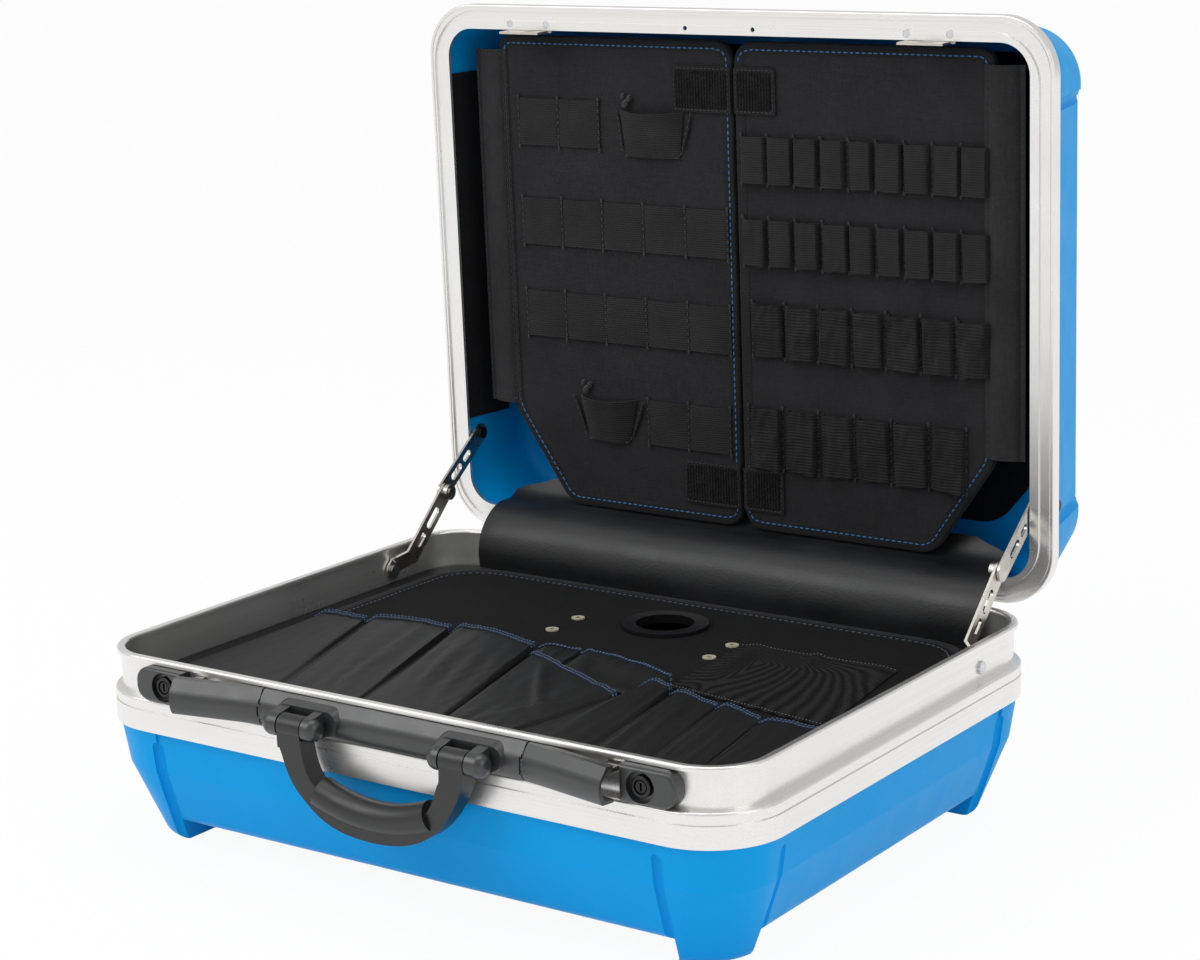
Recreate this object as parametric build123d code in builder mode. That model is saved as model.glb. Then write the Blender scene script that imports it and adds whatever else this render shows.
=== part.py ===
"""Hard tool case, open, on its four feet. Millimetres, +X right, +Y to the hinges, +Z up.

The origin lies on the floor under the middle of the whole open case, and the middle of the
base's plan is CASE_Y away from it. Heights are above the floor. The lid is described in the
plane of its rim: up the lid from its middle, and by its depth behind the rim.
"""
import os
from math import acos, atan2, cos, degrees, hypot, radians, sin

from build123d import *

os.makedirs("parts", exist_ok=True)

# ---------------------------------------------------------------- driving dimensions
CASE_Y = -28.0        # middle of the base's plan
WIDTH = 480.0         # outside of the aluminium ledge
DEPTH = 376.0
CORNER = 37.0         # corner radius of the lid's frame
LEDGE_CORNER = 48.0   # corner radius of the base's ledge
WALL_CORNER = 42.0    # corner radius of the base's upright wall, measured out at the ledge
OPEN_ANGLE = 88.0     # where the stays stop the lid

SHELL_BOTTOM = 13.5   # underside of the base between the feet
SHELL_TOP = 78.0      # where the blue shell disappears into the frame
LEDGE_TOP = 99.1
RIM_TOP = 124.2
WALL_INSET = 7.07     # frame wall behind the ledge's outside
WALL = 2.0            # aluminium wall
SHELL = 3.5           # plastic wall
SHELL_INSET = 4.6     # the blue wall's top behind the ledge's outside
BELLY_Z = 50.0        # the wall leans little above this height and more below it
BELLY_INSET = 8.6
FOOT_INSET = 20.6     # at SHELL_BOTTOM
BASE_EDGE = 10.0      # rounding of the base's lower edge
COLUMN_PROUD = 1.5    # corner columns stand out of the walls
GROOVE_X = 184.0      # grooves beside the corner columns
GROOVE_Y = 132.0
GROOVE_R = 4.2

LID_DEPTH = 72.0
LID_BACK_INSET = 15.4 # the lid's back behind the outside of its frame
LID_EDGE = 15.0
FACE_WIDTH = 16.6     # width of the lid frame's face
FACE = 2.4
RIM_Z = 123.5         # lid's rim when shut
SCREW_UP = DEPTH / 2 - 12.6   # strike screws, up the lid from its middle

HINGE_Y = 192.0       # hinge axis, behind the middle of the base
HINGE_Z = 119.5
HINGE_X = 150.0       # middle of each hinge

BAR_X = 5.0           # middle of the latch bar and handle, right of the case's middle
LOCK_X = 174.5        # locks, levers, hooks and handle are measured from BAR_X
LOCK_Z = 109.8
HARDWARE_BOTTOM = 99.4
HARDWARE_TOP = 120.6
LEVER_PIVOT_X = 96.4
LEVER_PIVOT_Y = -190.6
LEVER_END_X = 158.4
LEVER_LIFT = 11.0     # how far the levers stand open, in degrees
HOOK_X = 151.0
STRIKE_X = 153.7

HANDLE_X = 59.5       # middle of each handle arm
HANDLE_Y = -202.0     # handle pivots
HANDLE_Z = 108.0

STAY_BASE_Y = 108.5   # lower pivot of the stays
STAY_BASE_Z = 107.5
STAY_LID_UP = -122.0  # upper pivot of the stays, up the lid from its middle
STAY_LID_DEPTH = 12.4
LOWER_LINK = 70.0
UPPER_LINK = 57.9
LINK_WIDTH = 13.0

DOOR_EDGE = 192.0     # outer edge of the tool doors
DOOR_HINGE = 193.2    # the doors turn on their piped outer edges
DOOR_TOP = 166.0
DOOR_BOTTOM = -167.0
DOOR_FACE = 16.0      # depth of the doors' fronts behind the rim
DOOR_BOARD = 5.0
DOOR_GAP = 1.0

PALLET_WIDTH = 424.0
PALLET_DEPTH = 330.0
PALLET_CORNER = 44.0
PALLET_Z = 98.8
PALLET_BOARD = 3.2

# ---------------------------------------------------------------- planes
open_turn = radians(OPEN_ANGLE)
LID_UP = Vector(0, -cos(open_turn), sin(open_turn))
LID_IN = Vector(0, sin(open_turn), cos(open_turn))
hinge_axis = Vector(0, CASE_Y + HINGE_Y, HINGE_Z)
lid_middle = (
    hinge_axis
    + LID_UP * (HINGE_Y - DEPTH / 2 + DEPTH / 2)
    + LID_IN * (RIM_Z - HINGE_Z)
)


def level(height):
    """The level plane at a height, with its origin over the middle of the base."""
    return Plane(origin=(0, CASE_Y, height))


def front(y):
    """The upright plane that faces the user, y behind the middle of the base."""
    return Plane(origin=(0, CASE_Y + y, 0), x_dir=(1, 0, 0), z_dir=(0, -1, 0))


def side(x):
    """The upright plane across the case at x: its own x runs to the back, its own y up."""
    return Plane(origin=(x, CASE_Y, 0), x_dir=(0, 1, 0), z_dir=(1, 0, 0))


def rim(depth):
    """The plane of the open lid at a depth behind its rim: its own y runs up the lid."""
    return Plane(origin=lid_middle + LID_IN * depth, x_dir=(1, 0, 0), z_dir=-LID_IN)


def lid_side(x):
    """The plane across the open lid at x: its own x runs up the lid, its own -y into it."""
    return Plane(origin=lid_middle + Vector(x, 0, 0), x_dir=LID_UP, z_dir=(1, 0, 0))


def lid_level(x, up, depth):
    """The plane across the open lid at a height up it: its own y points out of the lid."""
    return Plane(origin=lid_point(x, up, depth), x_dir=(1, 0, 0), z_dir=-LID_UP)


def lid_point(x, up, depth):
    return lid_middle + Vector(x, 0, 0) + LID_UP * up + LID_IN * depth


def write(piece, name):
    piece.part.label = name
    export_step(piece.part, f"parts/{name}.step")


def write_pair(piece, name):
    """Writes a right-hand piece and its mirror image on the left."""
    write(piece, name + "_right")
    with BuildPart() as twin:
        mirror(piece.part, about=Plane.YZ)
    write(twin, name + "_left")


def on_bar(piece):
    """A piece drawn about the latch bar's middle, moved to where the bar stands."""
    with BuildPart() as moved_piece:
        add(piece.part.moved(Location((BAR_X, 0, 0))))
    return moved_piece


def write_bar_pair(piece, name):
    """Writes a right-hand piece of the bar and its mirror image on the bar's left."""
    write(on_bar(piece), name + "_right")
    with BuildPart() as twin:
        mirror(piece.part, about=Plane.YZ)
    write(on_bar(twin), name + "_left")


def rod(start, end, radius, mode=Mode.ADD):
    """A round rod between two points, in the part being built."""
    start, end = Vector(*start), Vector(*end)
    with Locations(Plane(origin=start, z_dir=end - start).location):
        Cylinder(
            radius, (end - start).length, align=(Align.CENTER, Align.CENTER, Align.MIN), mode=mode
        )


def ring(plane, inset_outer, inset_inner, thickness, mode=Mode.ADD, corner=CORNER):
    """A rounded rectangular ring between two insets from the ledge's outside."""
    with BuildPart(mode=Mode.PRIVATE) as band:
        with BuildSketch(plane):
            RectangleRounded(
                WIDTH - 2 * inset_outer, DEPTH - 2 * inset_outer, corner - inset_outer
            )
            RectangleRounded(
                WIDTH - 2 * inset_inner, DEPTH - 2 * inset_inner, corner - inset_inner,
                mode=Mode.SUBTRACT,
            )
        extrude(amount=thickness)
    add(band.part, mode=mode)


# ---------------------------------------------------------------- blue shells
def tub(plane, sections, edge):
    """A moulded tub behind a plane: each section is its depth, its inset and its corner."""
    with BuildPart(mode=Mode.PRIVATE) as block:
        for depth, inset, corner in sections:
            with BuildSketch(plane.offset(-depth)):
                RectangleRounded(WIDTH - 2 * inset, DEPTH - 2 * inset, corner)
        loft(ruled=True)
        far = block.faces().sort_by(Axis(plane.origin, -plane.z_dir))[-1]
        fillet(far.edges(), edge)
    return block.part


def corner_columns(plane, sections, edge):
    """The four corners of a tub, cut free along the grooves."""
    with BuildPart(mode=Mode.PRIVATE) as corners:
        add(tub(plane, sections, edge))
        with BuildSketch(plane):
            Rectangle(WIDTH, 2 * GROOVE_Y)
            Rectangle(2 * GROOVE_X, DEPTH)
        extrude(amount=-sections[-1][0] - edge, mode=Mode.SUBTRACT)
    return corners.part


def cut_grooves(plane, start, knee, foot):
    """Upright grooves beside the columns, from a depth over a knee to the far edge.

    Each of the three is a depth and the wall's inset there.
    """
    for way in (1, -1):
        for along in (GROOVE_X, -GROOVE_X):
            run = [
                plane.from_local_coords((along, way * (DEPTH / 2 - inset + 1.6), -depth))
                for depth, inset in (start, knee, foot)
            ]
            rod(run[0], run[1], GROOVE_R, Mode.SUBTRACT)
            rod(run[1], run[2], GROOVE_R, Mode.SUBTRACT)
            with Locations(run[0], run[1]):
                Sphere(GROOVE_R, mode=Mode.SUBTRACT)
        for along in (GROOVE_Y, -GROOVE_Y):
            run = [
                plane.from_local_coords((way * (WIDTH / 2 - inset + 1.6), along, -depth))
                for depth, inset in (start, knee, foot)
            ]
            rod(run[0], run[1], GROOVE_R, Mode.SUBTRACT)
            rod(run[1], run[2], GROOVE_R, Mode.SUBTRACT)
            with Locations(run[0], run[1]):
                Sphere(GROOVE_R, mode=Mode.SUBTRACT)


belly_depth = SHELL_TOP - BELLY_Z
shell_height = SHELL_TOP - SHELL_BOTTOM
wall_lean = (FOOT_INSET - BELLY_INSET) / (BELLY_Z - SHELL_BOTTOM)
foot_reach = FOOT_INSET + wall_lean * SHELL_BOTTOM

with BuildPart() as base_shell:
    add(
        tub(
            level(SHELL_TOP),
            ((0, SHELL_INSET, 42.0), (belly_depth, BELLY_INSET, 39.0),
             (shell_height, FOOT_INSET, 36.0)),
            BASE_EDGE,
        )
    )
    # corner columns, which run on downwards as the feet
    add(
        corner_columns(
            level(SHELL_TOP),
            ((0, SHELL_INSET - COLUMN_PROUD, 43.0), (belly_depth, BELLY_INSET - COLUMN_PROUD, 40.0),
             (SHELL_TOP, foot_reach - COLUMN_PROUD, 37.0)),
            10.0,
        )
    )
    cut_grooves(
        level(SHELL_TOP), (12.0, SHELL_INSET + 1.6), (belly_depth, BELLY_INSET),
        (SHELL_TOP, foot_reach),
    )
    add(
        tub(
            level(SHELL_TOP),
            ((0, SHELL_INSET + SHELL, 38.5), (belly_depth, BELLY_INSET + SHELL, 35.5),
             (shell_height - SHELL, FOOT_INSET + SHELL - 0.6, 32.5)),
            BASE_EDGE - SHELL,
        ),
        mode=Mode.SUBTRACT,
    )
    # rim that stands up inside the frame's channel
    ring(level(SHELL_TOP), SHELL_INSET, SHELL_INSET + SHELL, 4, corner=46.6)
    ring(level(SHELL_TOP), SHELL_INSET, 6.6, 17, corner=42.4)
write(base_shell, "base_shell")

LID_INSET = 2.6
lid_run = LID_DEPTH - FACE
with BuildPart() as lid_shell:
    add(
        tub(rim(FACE + 0.2), ((0, LID_INSET, 34.4), (lid_run, LID_BACK_INSET, 34.4)), LID_EDGE)
    )
    add(
        corner_columns(
            rim(FACE + 0.2),
            ((0, LID_INSET, 34.4), (lid_run * 0.3, LID_INSET + 2.6, 34.8),
             (lid_run + 1.2, LID_BACK_INSET - 1.0, 36.0)),
            12.0,
        )
    )
    cut_grooves(
        rim(FACE + 0.2), (16.0, LID_INSET + 2.9), (lid_run * 0.6, LID_INSET + 7.7),
        (LID_DEPTH + 6, LID_BACK_INSET + 1.0),
    )
    add(
        tub(
            rim(FACE + 0.2),
            ((0, LID_INSET + SHELL + 0.5, 31.0),
             (lid_run - SHELL, LID_BACK_INSET + SHELL - 0.1, 31.0)),
            LID_EDGE - SHELL,
        ),
        mode=Mode.SUBTRACT,
    )
    # moulded pads that carry the stays
    for s in (1, -1):
        rod(
            lid_point(s * 223.0, STAY_LID_UP, STAY_LID_DEPTH),
            lid_point(s * 234.0, STAY_LID_UP, STAY_LID_DEPTH), 5.0,
        )
        rod(
            lid_point(s * 220, STAY_LID_UP, STAY_LID_DEPTH),
            lid_point(s * 245, STAY_LID_UP, STAY_LID_DEPTH), 2.05, Mode.SUBTRACT,
        )
write(lid_shell, "lid_shell")

# ---------------------------------------------------------------- aluminium frames
BEAD_OUT = 4.4
BEAD_IN = 9.9
with BuildPart() as base_frame:
    ring(level(SHELL_TOP), 0, WALL, LEDGE_TOP - SHELL_TOP, corner=LEDGE_CORNER)
    with BuildSketch(level(LEDGE_TOP - WALL)):
        RectangleRounded(WIDTH, DEPTH, LEDGE_CORNER)
        RectangleRounded(
            WIDTH - 2 * (WALL_INSET + WALL), DEPTH - 2 * (WALL_INSET + WALL),
            WALL_CORNER - WALL_INSET - WALL, mode=Mode.SUBTRACT,
        )
    extrude(amount=WALL)
    ring(
        level(SHELL_TOP + 6), WALL_INSET, WALL_INSET + WALL, RIM_TOP - SHELL_TOP - 8,
        corner=WALL_CORNER,
    )
    ledge_edge = (
        base_frame.edges().filter_by(lambda e: abs(e.center().Z - LEDGE_TOP) < 0.01)
        .filter_by(lambda e: max(abs(e.bounding_box().max.X), abs(e.bounding_box().min.X)) > 239.9
                   or max(abs(e.bounding_box().max.Y - CASE_Y), abs(e.bounding_box().min.Y - CASE_Y)) > 187.9)
    )
    fillet(ledge_edge, 1.8)
    # rounded bead along the rim, proud of the wall on both sides
    ring(level(RIM_TOP - 3.2), BEAD_OUT, BEAD_IN, 3.2, corner=WALL_CORNER)
    bead_top = base_frame.faces().sort_by(Axis.Z)[-1]
    fillet(bead_top.edges(), 1.6)
    # fine groove round the ledge
    ring(level(91.4), -1, 0.8, 1.2, Mode.SUBTRACT, LEDGE_CORNER)
    # slots for the latch hooks, and holes for the stay rivets
    for s in (1, -1):
        with BuildSketch(front(-170)):
            with Locations((BAR_X + s * 152.6, 116.3)):
                Rectangle(13.2, 4.8)
        extrude(amount=14, mode=Mode.SUBTRACT)
        rod(
            (s * 225, CASE_Y + STAY_BASE_Y, STAY_BASE_Z),
            (s * 240, CASE_Y + STAY_BASE_Y, STAY_BASE_Z), 2.05, Mode.SUBTRACT,
        )
write(base_frame, "base_frame")

with BuildPart() as lid_frame:
    ring(rim(0), 0, FACE_WIDTH, -FACE)
    face_edge = lid_frame.faces().sort_by(Axis(lid_middle, LID_IN))[0].outer_wire().edges()
    fillet(face_edge, 1.2)
    ring(rim(0), 0, WALL, -8.0)
    ring(rim(FACE), 7.5, 9.0, -2.6)
    fillet(lid_frame.faces().sort_by(Axis(lid_middle, LID_IN))[0].outer_wire().edges(), 0.9)
    # groove that takes the base's bead, and the fine groove outside it
    ring(rim(0), 3.9, 10.6, -1.4, Mode.SUBTRACT, WALL_CORNER)
    ring(rim(0), 2.0, 2.9, -0.6, Mode.SUBTRACT)
    for s in (1, -1):
        for dx in (-15.2, 15.2):
            rod(
                lid_point(s * STRIKE_X + dx, SCREW_UP, -1), lid_point(s * STRIKE_X + dx, SCREW_UP, 5),
                2.5, Mode.SUBTRACT,
            )
        rod(
            lid_point(s * 26, SCREW_UP, -1), lid_point(s * 26, SCREW_UP, 5), 1.5, Mode.SUBTRACT,
        )
write(lid_frame, "lid_frame")

# ---------------------------------------------------------------- lining of the base
LINER_FLOOR = SHELL_BOTTOM + SHELL + 0.6
LINER_TOP = 98.4
with BuildPart() as base_liner:
    with BuildSketch(level(LINER_TOP - 2.4)):
        RectangleRounded(460, 356, 34)
    extrude(amount=2.4)
    with BuildSketch(level(LINER_FLOOR)):
        RectangleRounded(410, 314, 24)
    extrude(amount=LINER_TOP - LINER_FLOOR)
    with BuildSketch(level(LINER_FLOOR + 2)):
        RectangleRounded(405, 309, 21.5)
    extrude(amount=LINER_TOP, mode=Mode.SUBTRACT)
write(base_liner, "base_liner")


# ---------------------------------------------------------------- latch bar on the front
def bar_profile(grow=0.0):
    """The section shared by the centre plate and the levers, in a plane whose x runs back.

    Grown inwards, it is the channel inside the levers, open at the back.
    """
    back = -181.1 if grow == 0 else -180.0
    with BuildLine() as outline:
        low = Line((back, HARDWARE_BOTTOM + grow), (-189.4 + grow, HARDWARE_BOTTOM + grow))
        face = ThreePointArc(
            low @ 1, (-192.4 + grow, 106.8), (-190.6 + grow, 114.6),
        )
        shoulder = Line(face @ 1, (-186.2 + grow, HARDWARE_TOP - grow))
        top = Line(shoulder @ 1, (back, HARDWARE_TOP - grow))
        Line(top @ 1, low @ 0)
    make_face(outline.edges())


def seam_wedge():
    """Takes the front corner off both sides of a lever's seam, so that the lever can turn."""
    with BuildPart(mode=Mode.PRIVATE) as wedge:
        with BuildSketch(level(HARDWARE_BOTTOM - 1)):
            with BuildLine():
                Polyline(
                    (LEVER_PIVOT_X, LEVER_PIVOT_Y + 0.2), (LEVER_PIVOT_X - 2.6, LEVER_PIVOT_Y - 3.6),
                    (LEVER_PIVOT_X + 2.6, LEVER_PIVOT_Y - 3.6), close=True,
                )
            make_face()
        extrude(amount=HARDWARE_TOP - HARDWARE_BOTTOM + 2)
    add(wedge.part, mode=Mode.SUBTRACT)


def pin_lug(way, bottom, top, radius=1.5):
    """An eye round the lever's pin, carried from the plate's side or the lever's."""
    with BuildPart(mode=Mode.PRIVATE) as eye:
        with BuildSketch(level(bottom)):
            with Locations((LEVER_PIVOT_X, LEVER_PIVOT_Y)):
                Circle(radius)
            with Locations((LEVER_PIVOT_X + way * 2.6, LEVER_PIVOT_Y + 0.5)):
                Rectangle(5.2, 2 * radius - 1)
        extrude(amount=top - bottom)
    add(eye.part)


EAR = (105.6, 110.6)          # the plate's eye, between two eyes of the lever
LOW_EYE = (103.4, 105.3)
HIGH_EYE = (110.9, 112.8)
PIN_RADIUS = 0.8

with BuildPart() as right_half:
    with BuildSketch(side(0)):
        bar_profile()
    extrude(amount=LEVER_PIVOT_X - 0.2)
    seam_wedge()
    with BuildSketch(level(LOW_EYE[0] - 0.4)):
        with Locations((LEVER_PIVOT_X, LEVER_PIVOT_Y)):
            Circle(2.0)
    extrude(amount=HIGH_EYE[1] - LOW_EYE[0] + 0.8, mode=Mode.SUBTRACT)
    pin_lug(-1, *EAR)
    rod(
        (LEVER_PIVOT_X, CASE_Y + LEVER_PIVOT_Y, 100),
        (LEVER_PIVOT_X, CASE_Y + LEVER_PIVOT_Y, 116), PIN_RADIUS + 0.02, Mode.SUBTRACT,
    )
with BuildPart() as latch_plate:
    add(right_half.part)
    mirror(right_half.part, about=Plane.YZ)
write(on_bar(latch_plate), "latch_plate")

with BuildPart() as lever_pins:
    for s in (1, -1):
        rod(
            (s * LEVER_PIVOT_X, CASE_Y + LEVER_PIVOT_Y, LOW_EYE[0]),
            (s * LEVER_PIVOT_X, CASE_Y + LEVER_PIVOT_Y, HIGH_EYE[1]), PIN_RADIUS,
        )
write(on_bar(lever_pins), "lever_pins")

lever_axis = Axis((LEVER_PIVOT_X, CASE_Y + LEVER_PIVOT_Y, 0), (0, 0, 1))


def lifted(shut):
    """A right-hand lever piece, drawn shut, turned out to where it stands."""
    with BuildPart() as turned:
        add(shut.part.rotate(lever_axis, -LEVER_LIFT))
    return turned


with BuildPart() as lever:
    with BuildSketch(side(LEVER_PIVOT_X + 0.2)):
        bar_profile()
    extrude(amount=LEVER_END_X - LEVER_PIVOT_X - 0.2)
    with BuildSketch(side(LEVER_PIVOT_X + 4.6)):
        bar_profile(2.0)
    extrude(amount=LEVER_END_X - LEVER_PIVOT_X - 4.6, mode=Mode.SUBTRACT)
    seam_wedge()
    # room for the plate's eye, then the lever's own eyes and the pin's bore
    with BuildSketch(level(EAR[0] - 0.3)):
        with Locations((LEVER_PIVOT_X, LEVER_PIVOT_Y)):
            Circle(2.0)
        with Locations((LEVER_PIVOT_X, LEVER_PIVOT_Y + 3)):
            Rectangle(4.0, 6.0)
    extrude(amount=EAR[1] - EAR[0] + 0.6, mode=Mode.SUBTRACT)
    pin_lug(1, *LOW_EYE)
    pin_lug(1, *HIGH_EYE)
    rod(
        (LEVER_PIVOT_X, CASE_Y + LEVER_PIVOT_Y, 98),
        (LEVER_PIVOT_X, CASE_Y + LEVER_PIVOT_Y, 124), PIN_RADIUS + 0.05, Mode.SUBTRACT,
    )
    # seats for the hook's plate
    for x in (124, 142):
        rod((x, CASE_Y - 186.65, 110.5), (x, CASE_Y - 189.6, 110.5), 3.2)
write_bar_pair(lifted(lever), "lever")

with BuildPart() as hook:
    with BuildSketch(level(115.2)):
        with BuildLine():
            Polyline(
                (120, -185.2), (155, -185.2), (155, -172), (152, -168.5), (147, -168.5),
                (147, -181.5), (120, -181.5), close=True,
            )
        make_face()
    extrude(amount=2.2)
    with BuildSketch(front(-184.0)):
        with Locations((135, 111.0)):
            Rectangle(30, 9.0)
    extrude(amount=2.6)
write_bar_pair(lifted(hook), "lever_hook")

with BuildPart() as lock_housing:
    with BuildSketch(front(-181.1)):
        with BuildLine():
            base_line = Line((160.2, HARDWARE_BOTTOM), (188.0, HARDWARE_BOTTOM))
            low_arc = ThreePointArc(base_line @ 1, (194.6, 102.3), (197.0, 110.0))
            top_arc = ThreePointArc(low_arc @ 1, (194.6, 117.7), (188.0, HARDWARE_TOP))
            roof = Line(top_arc @ 1, (160.2, HARDWARE_TOP))
            Line(roof @ 1, base_line @ 0)
        make_face()
    extrude(amount=9.4)
    fillet(lock_housing.faces().sort_by(Axis.Y)[0].edges(), 2.2)
    rod((LOCK_X, CASE_Y - 186.6, LOCK_Z), (LOCK_X, CASE_Y - 195, LOCK_Z), 9.2, Mode.SUBTRACT)
    rod((LOCK_X, CASE_Y - 175, LOCK_Z), (LOCK_X, CASE_Y - 195, LOCK_Z), 6.45, Mode.SUBTRACT)
write_bar_pair(lock_housing, "lock_housing")

with BuildPart() as lock_barrel:
    rod((LOCK_X, CASE_Y - 181.4, LOCK_Z), (LOCK_X, CASE_Y - 190.0, LOCK_Z), 6.4)
    fillet(lock_barrel.faces().sort_by(Axis.Y)[0].edges(), 1.0)
    with BuildSketch(front(-187.5)):
        with Locations((LOCK_X, LOCK_Z)):
            Circle(4.3)
    extrude(amount=4, mode=Mode.SUBTRACT)
    with BuildSketch(front(-187.5)):
        with Locations((LOCK_X, LOCK_Z)):
            Circle(3.4)
            Rectangle(1.3, 5.0, mode=Mode.SUBTRACT)
    extrude(amount=2.1)
write_bar_pair(lock_barrel, "lock_barrel")

# ---------------------------------------------------------------- handle
CHEEK_R = 7.4
with BuildPart() as handle_lugs:
    for s in (1, -1):
        # boss on the plate, with its two bullet-nosed cheeks
        with BuildSketch(front(-187.5)):
            with Locations((s * HANDLE_X + 1.5, 110.0)):
                SlotOverall(50, 18.4)
        extrude(amount=6.8, taper=14)
        for x0, x1 in ((HANDLE_X - 9.4, HANDLE_X - 19.0), (HANDLE_X + 9.4, HANDLE_X + 21.5)):
            with BuildPart(mode=Mode.PRIVATE) as cheek:
                rod((x0, CASE_Y + HANDLE_Y, HANDLE_Z), (x1, CASE_Y + HANDLE_Y, HANDLE_Z), CHEEK_R)
                nose = cheek.faces().sort_by(Axis.X)[-1 if x1 > x0 else 0]
                fillet(nose.edges(), 6.0)
                with BuildSketch(Plane(origin=(x0, CASE_Y, 0), x_dir=(0, 1, 0), z_dir=(1, 0, 0))):
                    with BuildLine():
                        Polyline(
                            (HANDLE_Y - 1, HANDLE_Z + CHEEK_R - 0.2), (-190, 117.6), (-190, 101.4),
                            (HANDLE_Y + 2, HANDLE_Z - CHEEK_R + 0.6), close=True,
                        )
                    make_face()
                extrude(amount=(x1 - x0) * 0.62)
            if s > 0:
                add(cheek.part)
            else:
                mirror(cheek.part, about=Plane.YZ)
    add(latch_plate.part, mode=Mode.SUBTRACT)
    for s in (1, -1):
        # the arm's own room, and the pin's bore
        rod(
            (s * (HANDLE_X - 8.9), CASE_Y + HANDLE_Y, HANDLE_Z),
            (s * (HANDLE_X + 8.9), CASE_Y + HANDLE_Y, HANDLE_Z), CHEEK_R + 0.7, Mode.SUBTRACT,
        )
        rod(
            (s * (HANDLE_X - 14), CASE_Y + HANDLE_Y, HANDLE_Z),
            (s * (HANDLE_X + 15), CASE_Y + HANDLE_Y, HANDLE_Z), 2.52, Mode.SUBTRACT,
        )
write(on_bar(handle_lugs), "handle_lugs")

with BuildPart() as handle_pins:
    for s in (1, -1):
        rod(
            (s * (HANDLE_X - 13.9), CASE_Y + HANDLE_Y, HANDLE_Z),
            (s * (HANDLE_X + 14.9), CASE_Y + HANDLE_Y, HANDLE_Z), 2.5,
        )
write(on_bar(handle_pins), "handle_pins")

HANDLE_THICK = 13.0
with BuildPart() as handle:
    # flat strap bent to a U
    with BuildSketch(front(HANDLE_Y + HANDLE_THICK / 2)):
        with BuildLine():
            outside = Spline(
                (68.1, HANDLE_Z), (66.8, 96), (61.8, 83.5), (50.4, 67.7), (33.8, 55.9), (12.4, 50.5),
                (-12.4, 50.5), (-33.8, 55.9), (-50.4, 67.7), (-61.8, 83.5), (-66.8, 96),
                (-68.1, HANDLE_Z), tangents=((0, -1), (0, 1)),
            )
            Line(outside @ 1, (-51.0, HANDLE_Z))
            inside = Spline(
                (-51.0, HANDLE_Z), (-49.6, 93.5), (-44.2, 80.0), (0, 70.0), (44.2, 80.0),
                (49.6, 93.5), (51.0, HANDLE_Z), tangents=((0, -1), (0, 1)),
            )
            Line(inside @ 1, outside @ 0)
        make_face()
    extrude(amount=HANDLE_THICK)
    # rounded grip let into it
    with BuildLine(front(HANDLE_Y)) as grip_path:
        ThreePointArc((-41.0, 71.6), (0, 63.4), (41.0, 71.6))
    with BuildSketch(Plane(origin=grip_path.line @ 0, z_dir=grip_path.line % 0, x_dir=(0, 1, 0))):
        Ellipse(9.4, 9.8)
    sweep(path=grip_path.line)
    for s in (1, -1):
        rod(
            (s * (HANDLE_X - 8.5), CASE_Y + HANDLE_Y, HANDLE_Z),
            (s * (HANDLE_X + 8.5), CASE_Y + HANDLE_Y, HANDLE_Z), 7.2,
        )
        rod(
            (s * (HANDLE_X - 20), CASE_Y + HANDLE_Y, HANDLE_Z),
            (s * (HANDLE_X + 20), CASE_Y + HANDLE_Y, HANDLE_Z), 2.56, Mode.SUBTRACT,
        )
write(on_bar(handle), "handle")

# ---------------------------------------------------------------- hinges
KNUCKLE_R = 3.0
PIN_R = 1.5
with BuildPart() as hinge_base_leaves:
    for s in (1, -1):
        with BuildSketch(side(s * HINGE_X - 22)):
            with BuildLine():
                Polyline(
                    (181.05, 101.5), (182.7, 101.5), (182.7, 117.5), (181.05, 117.5), close=True,
                )
            make_face()
        extrude(amount=44)
        for offset in (-22.0, 9.0):
            with BuildSketch(side(s * HINGE_X + offset)):
                with BuildLine():
                    Polyline(
                        (182.0, 112.5), (190.5, 116.9), (192, HINGE_Z), (189.3, HINGE_Z),
                        (182.0, 117.5), close=True,
                    )
                make_face()
                with Locations((HINGE_Y, HINGE_Z)):
                    Circle(KNUCKLE_R)
            extrude(amount=13)
        rod(
            (s * HINGE_X - 30, CASE_Y + HINGE_Y, HINGE_Z), (s * HINGE_X + 30, CASE_Y + HINGE_Y, HINGE_Z),
            PIN_R + 0.02, Mode.SUBTRACT,
        )
write(hinge_base_leaves, "hinge_base_leaves")

with BuildPart() as hinge_pins:
    for s in (1, -1):
        rod(
            (s * HINGE_X - 22.5, CASE_Y + HINGE_Y, HINGE_Z),
            (s * HINGE_X + 22.5, CASE_Y + HINGE_Y, HINGE_Z), PIN_R,
        )
write(hinge_pins, "hinge_pins")

rear_up = -DEPTH / 2                       # the lid's rear edge, up the lid from its middle
knuckle_up = rear_up - (HINGE_Y - DEPTH / 2)
knuckle_in = RIM_Z - HINGE_Z               # the axis lies this far in front of the rim
with BuildPart() as hinge_lid_leaves:
    for s in (1, -1):
        with BuildSketch(lid_side(s * HINGE_X - 22)):
            with Locations((rear_up - 0.9, -4.2)):
                Rectangle(1.7, 6.6)
        extrude(amount=44)
        with BuildSketch(lid_side(s * HINGE_X - 8.4)):
            with BuildLine():
                Polyline(
                    (rear_up - 0.06, -1.0), (rear_up - 0.06, knuckle_in), (knuckle_up, knuckle_in),
                    (knuckle_up - 2, knuckle_in - 1), (rear_up - 1.7, -1.0), close=True,
                )
            make_face()
            with Locations((knuckle_up, knuckle_in)):
                Circle(KNUCKLE_R)
        extrude(amount=16.8)
        rod(
            (s * HINGE_X - 30, CASE_Y + HINGE_Y, HINGE_Z), (s * HINGE_X + 30, CASE_Y + HINGE_Y, HINGE_Z),
            PIN_R + 0.06, Mode.SUBTRACT,
        )
write(hinge_lid_leaves, "hinge_lid_leaves")

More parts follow.
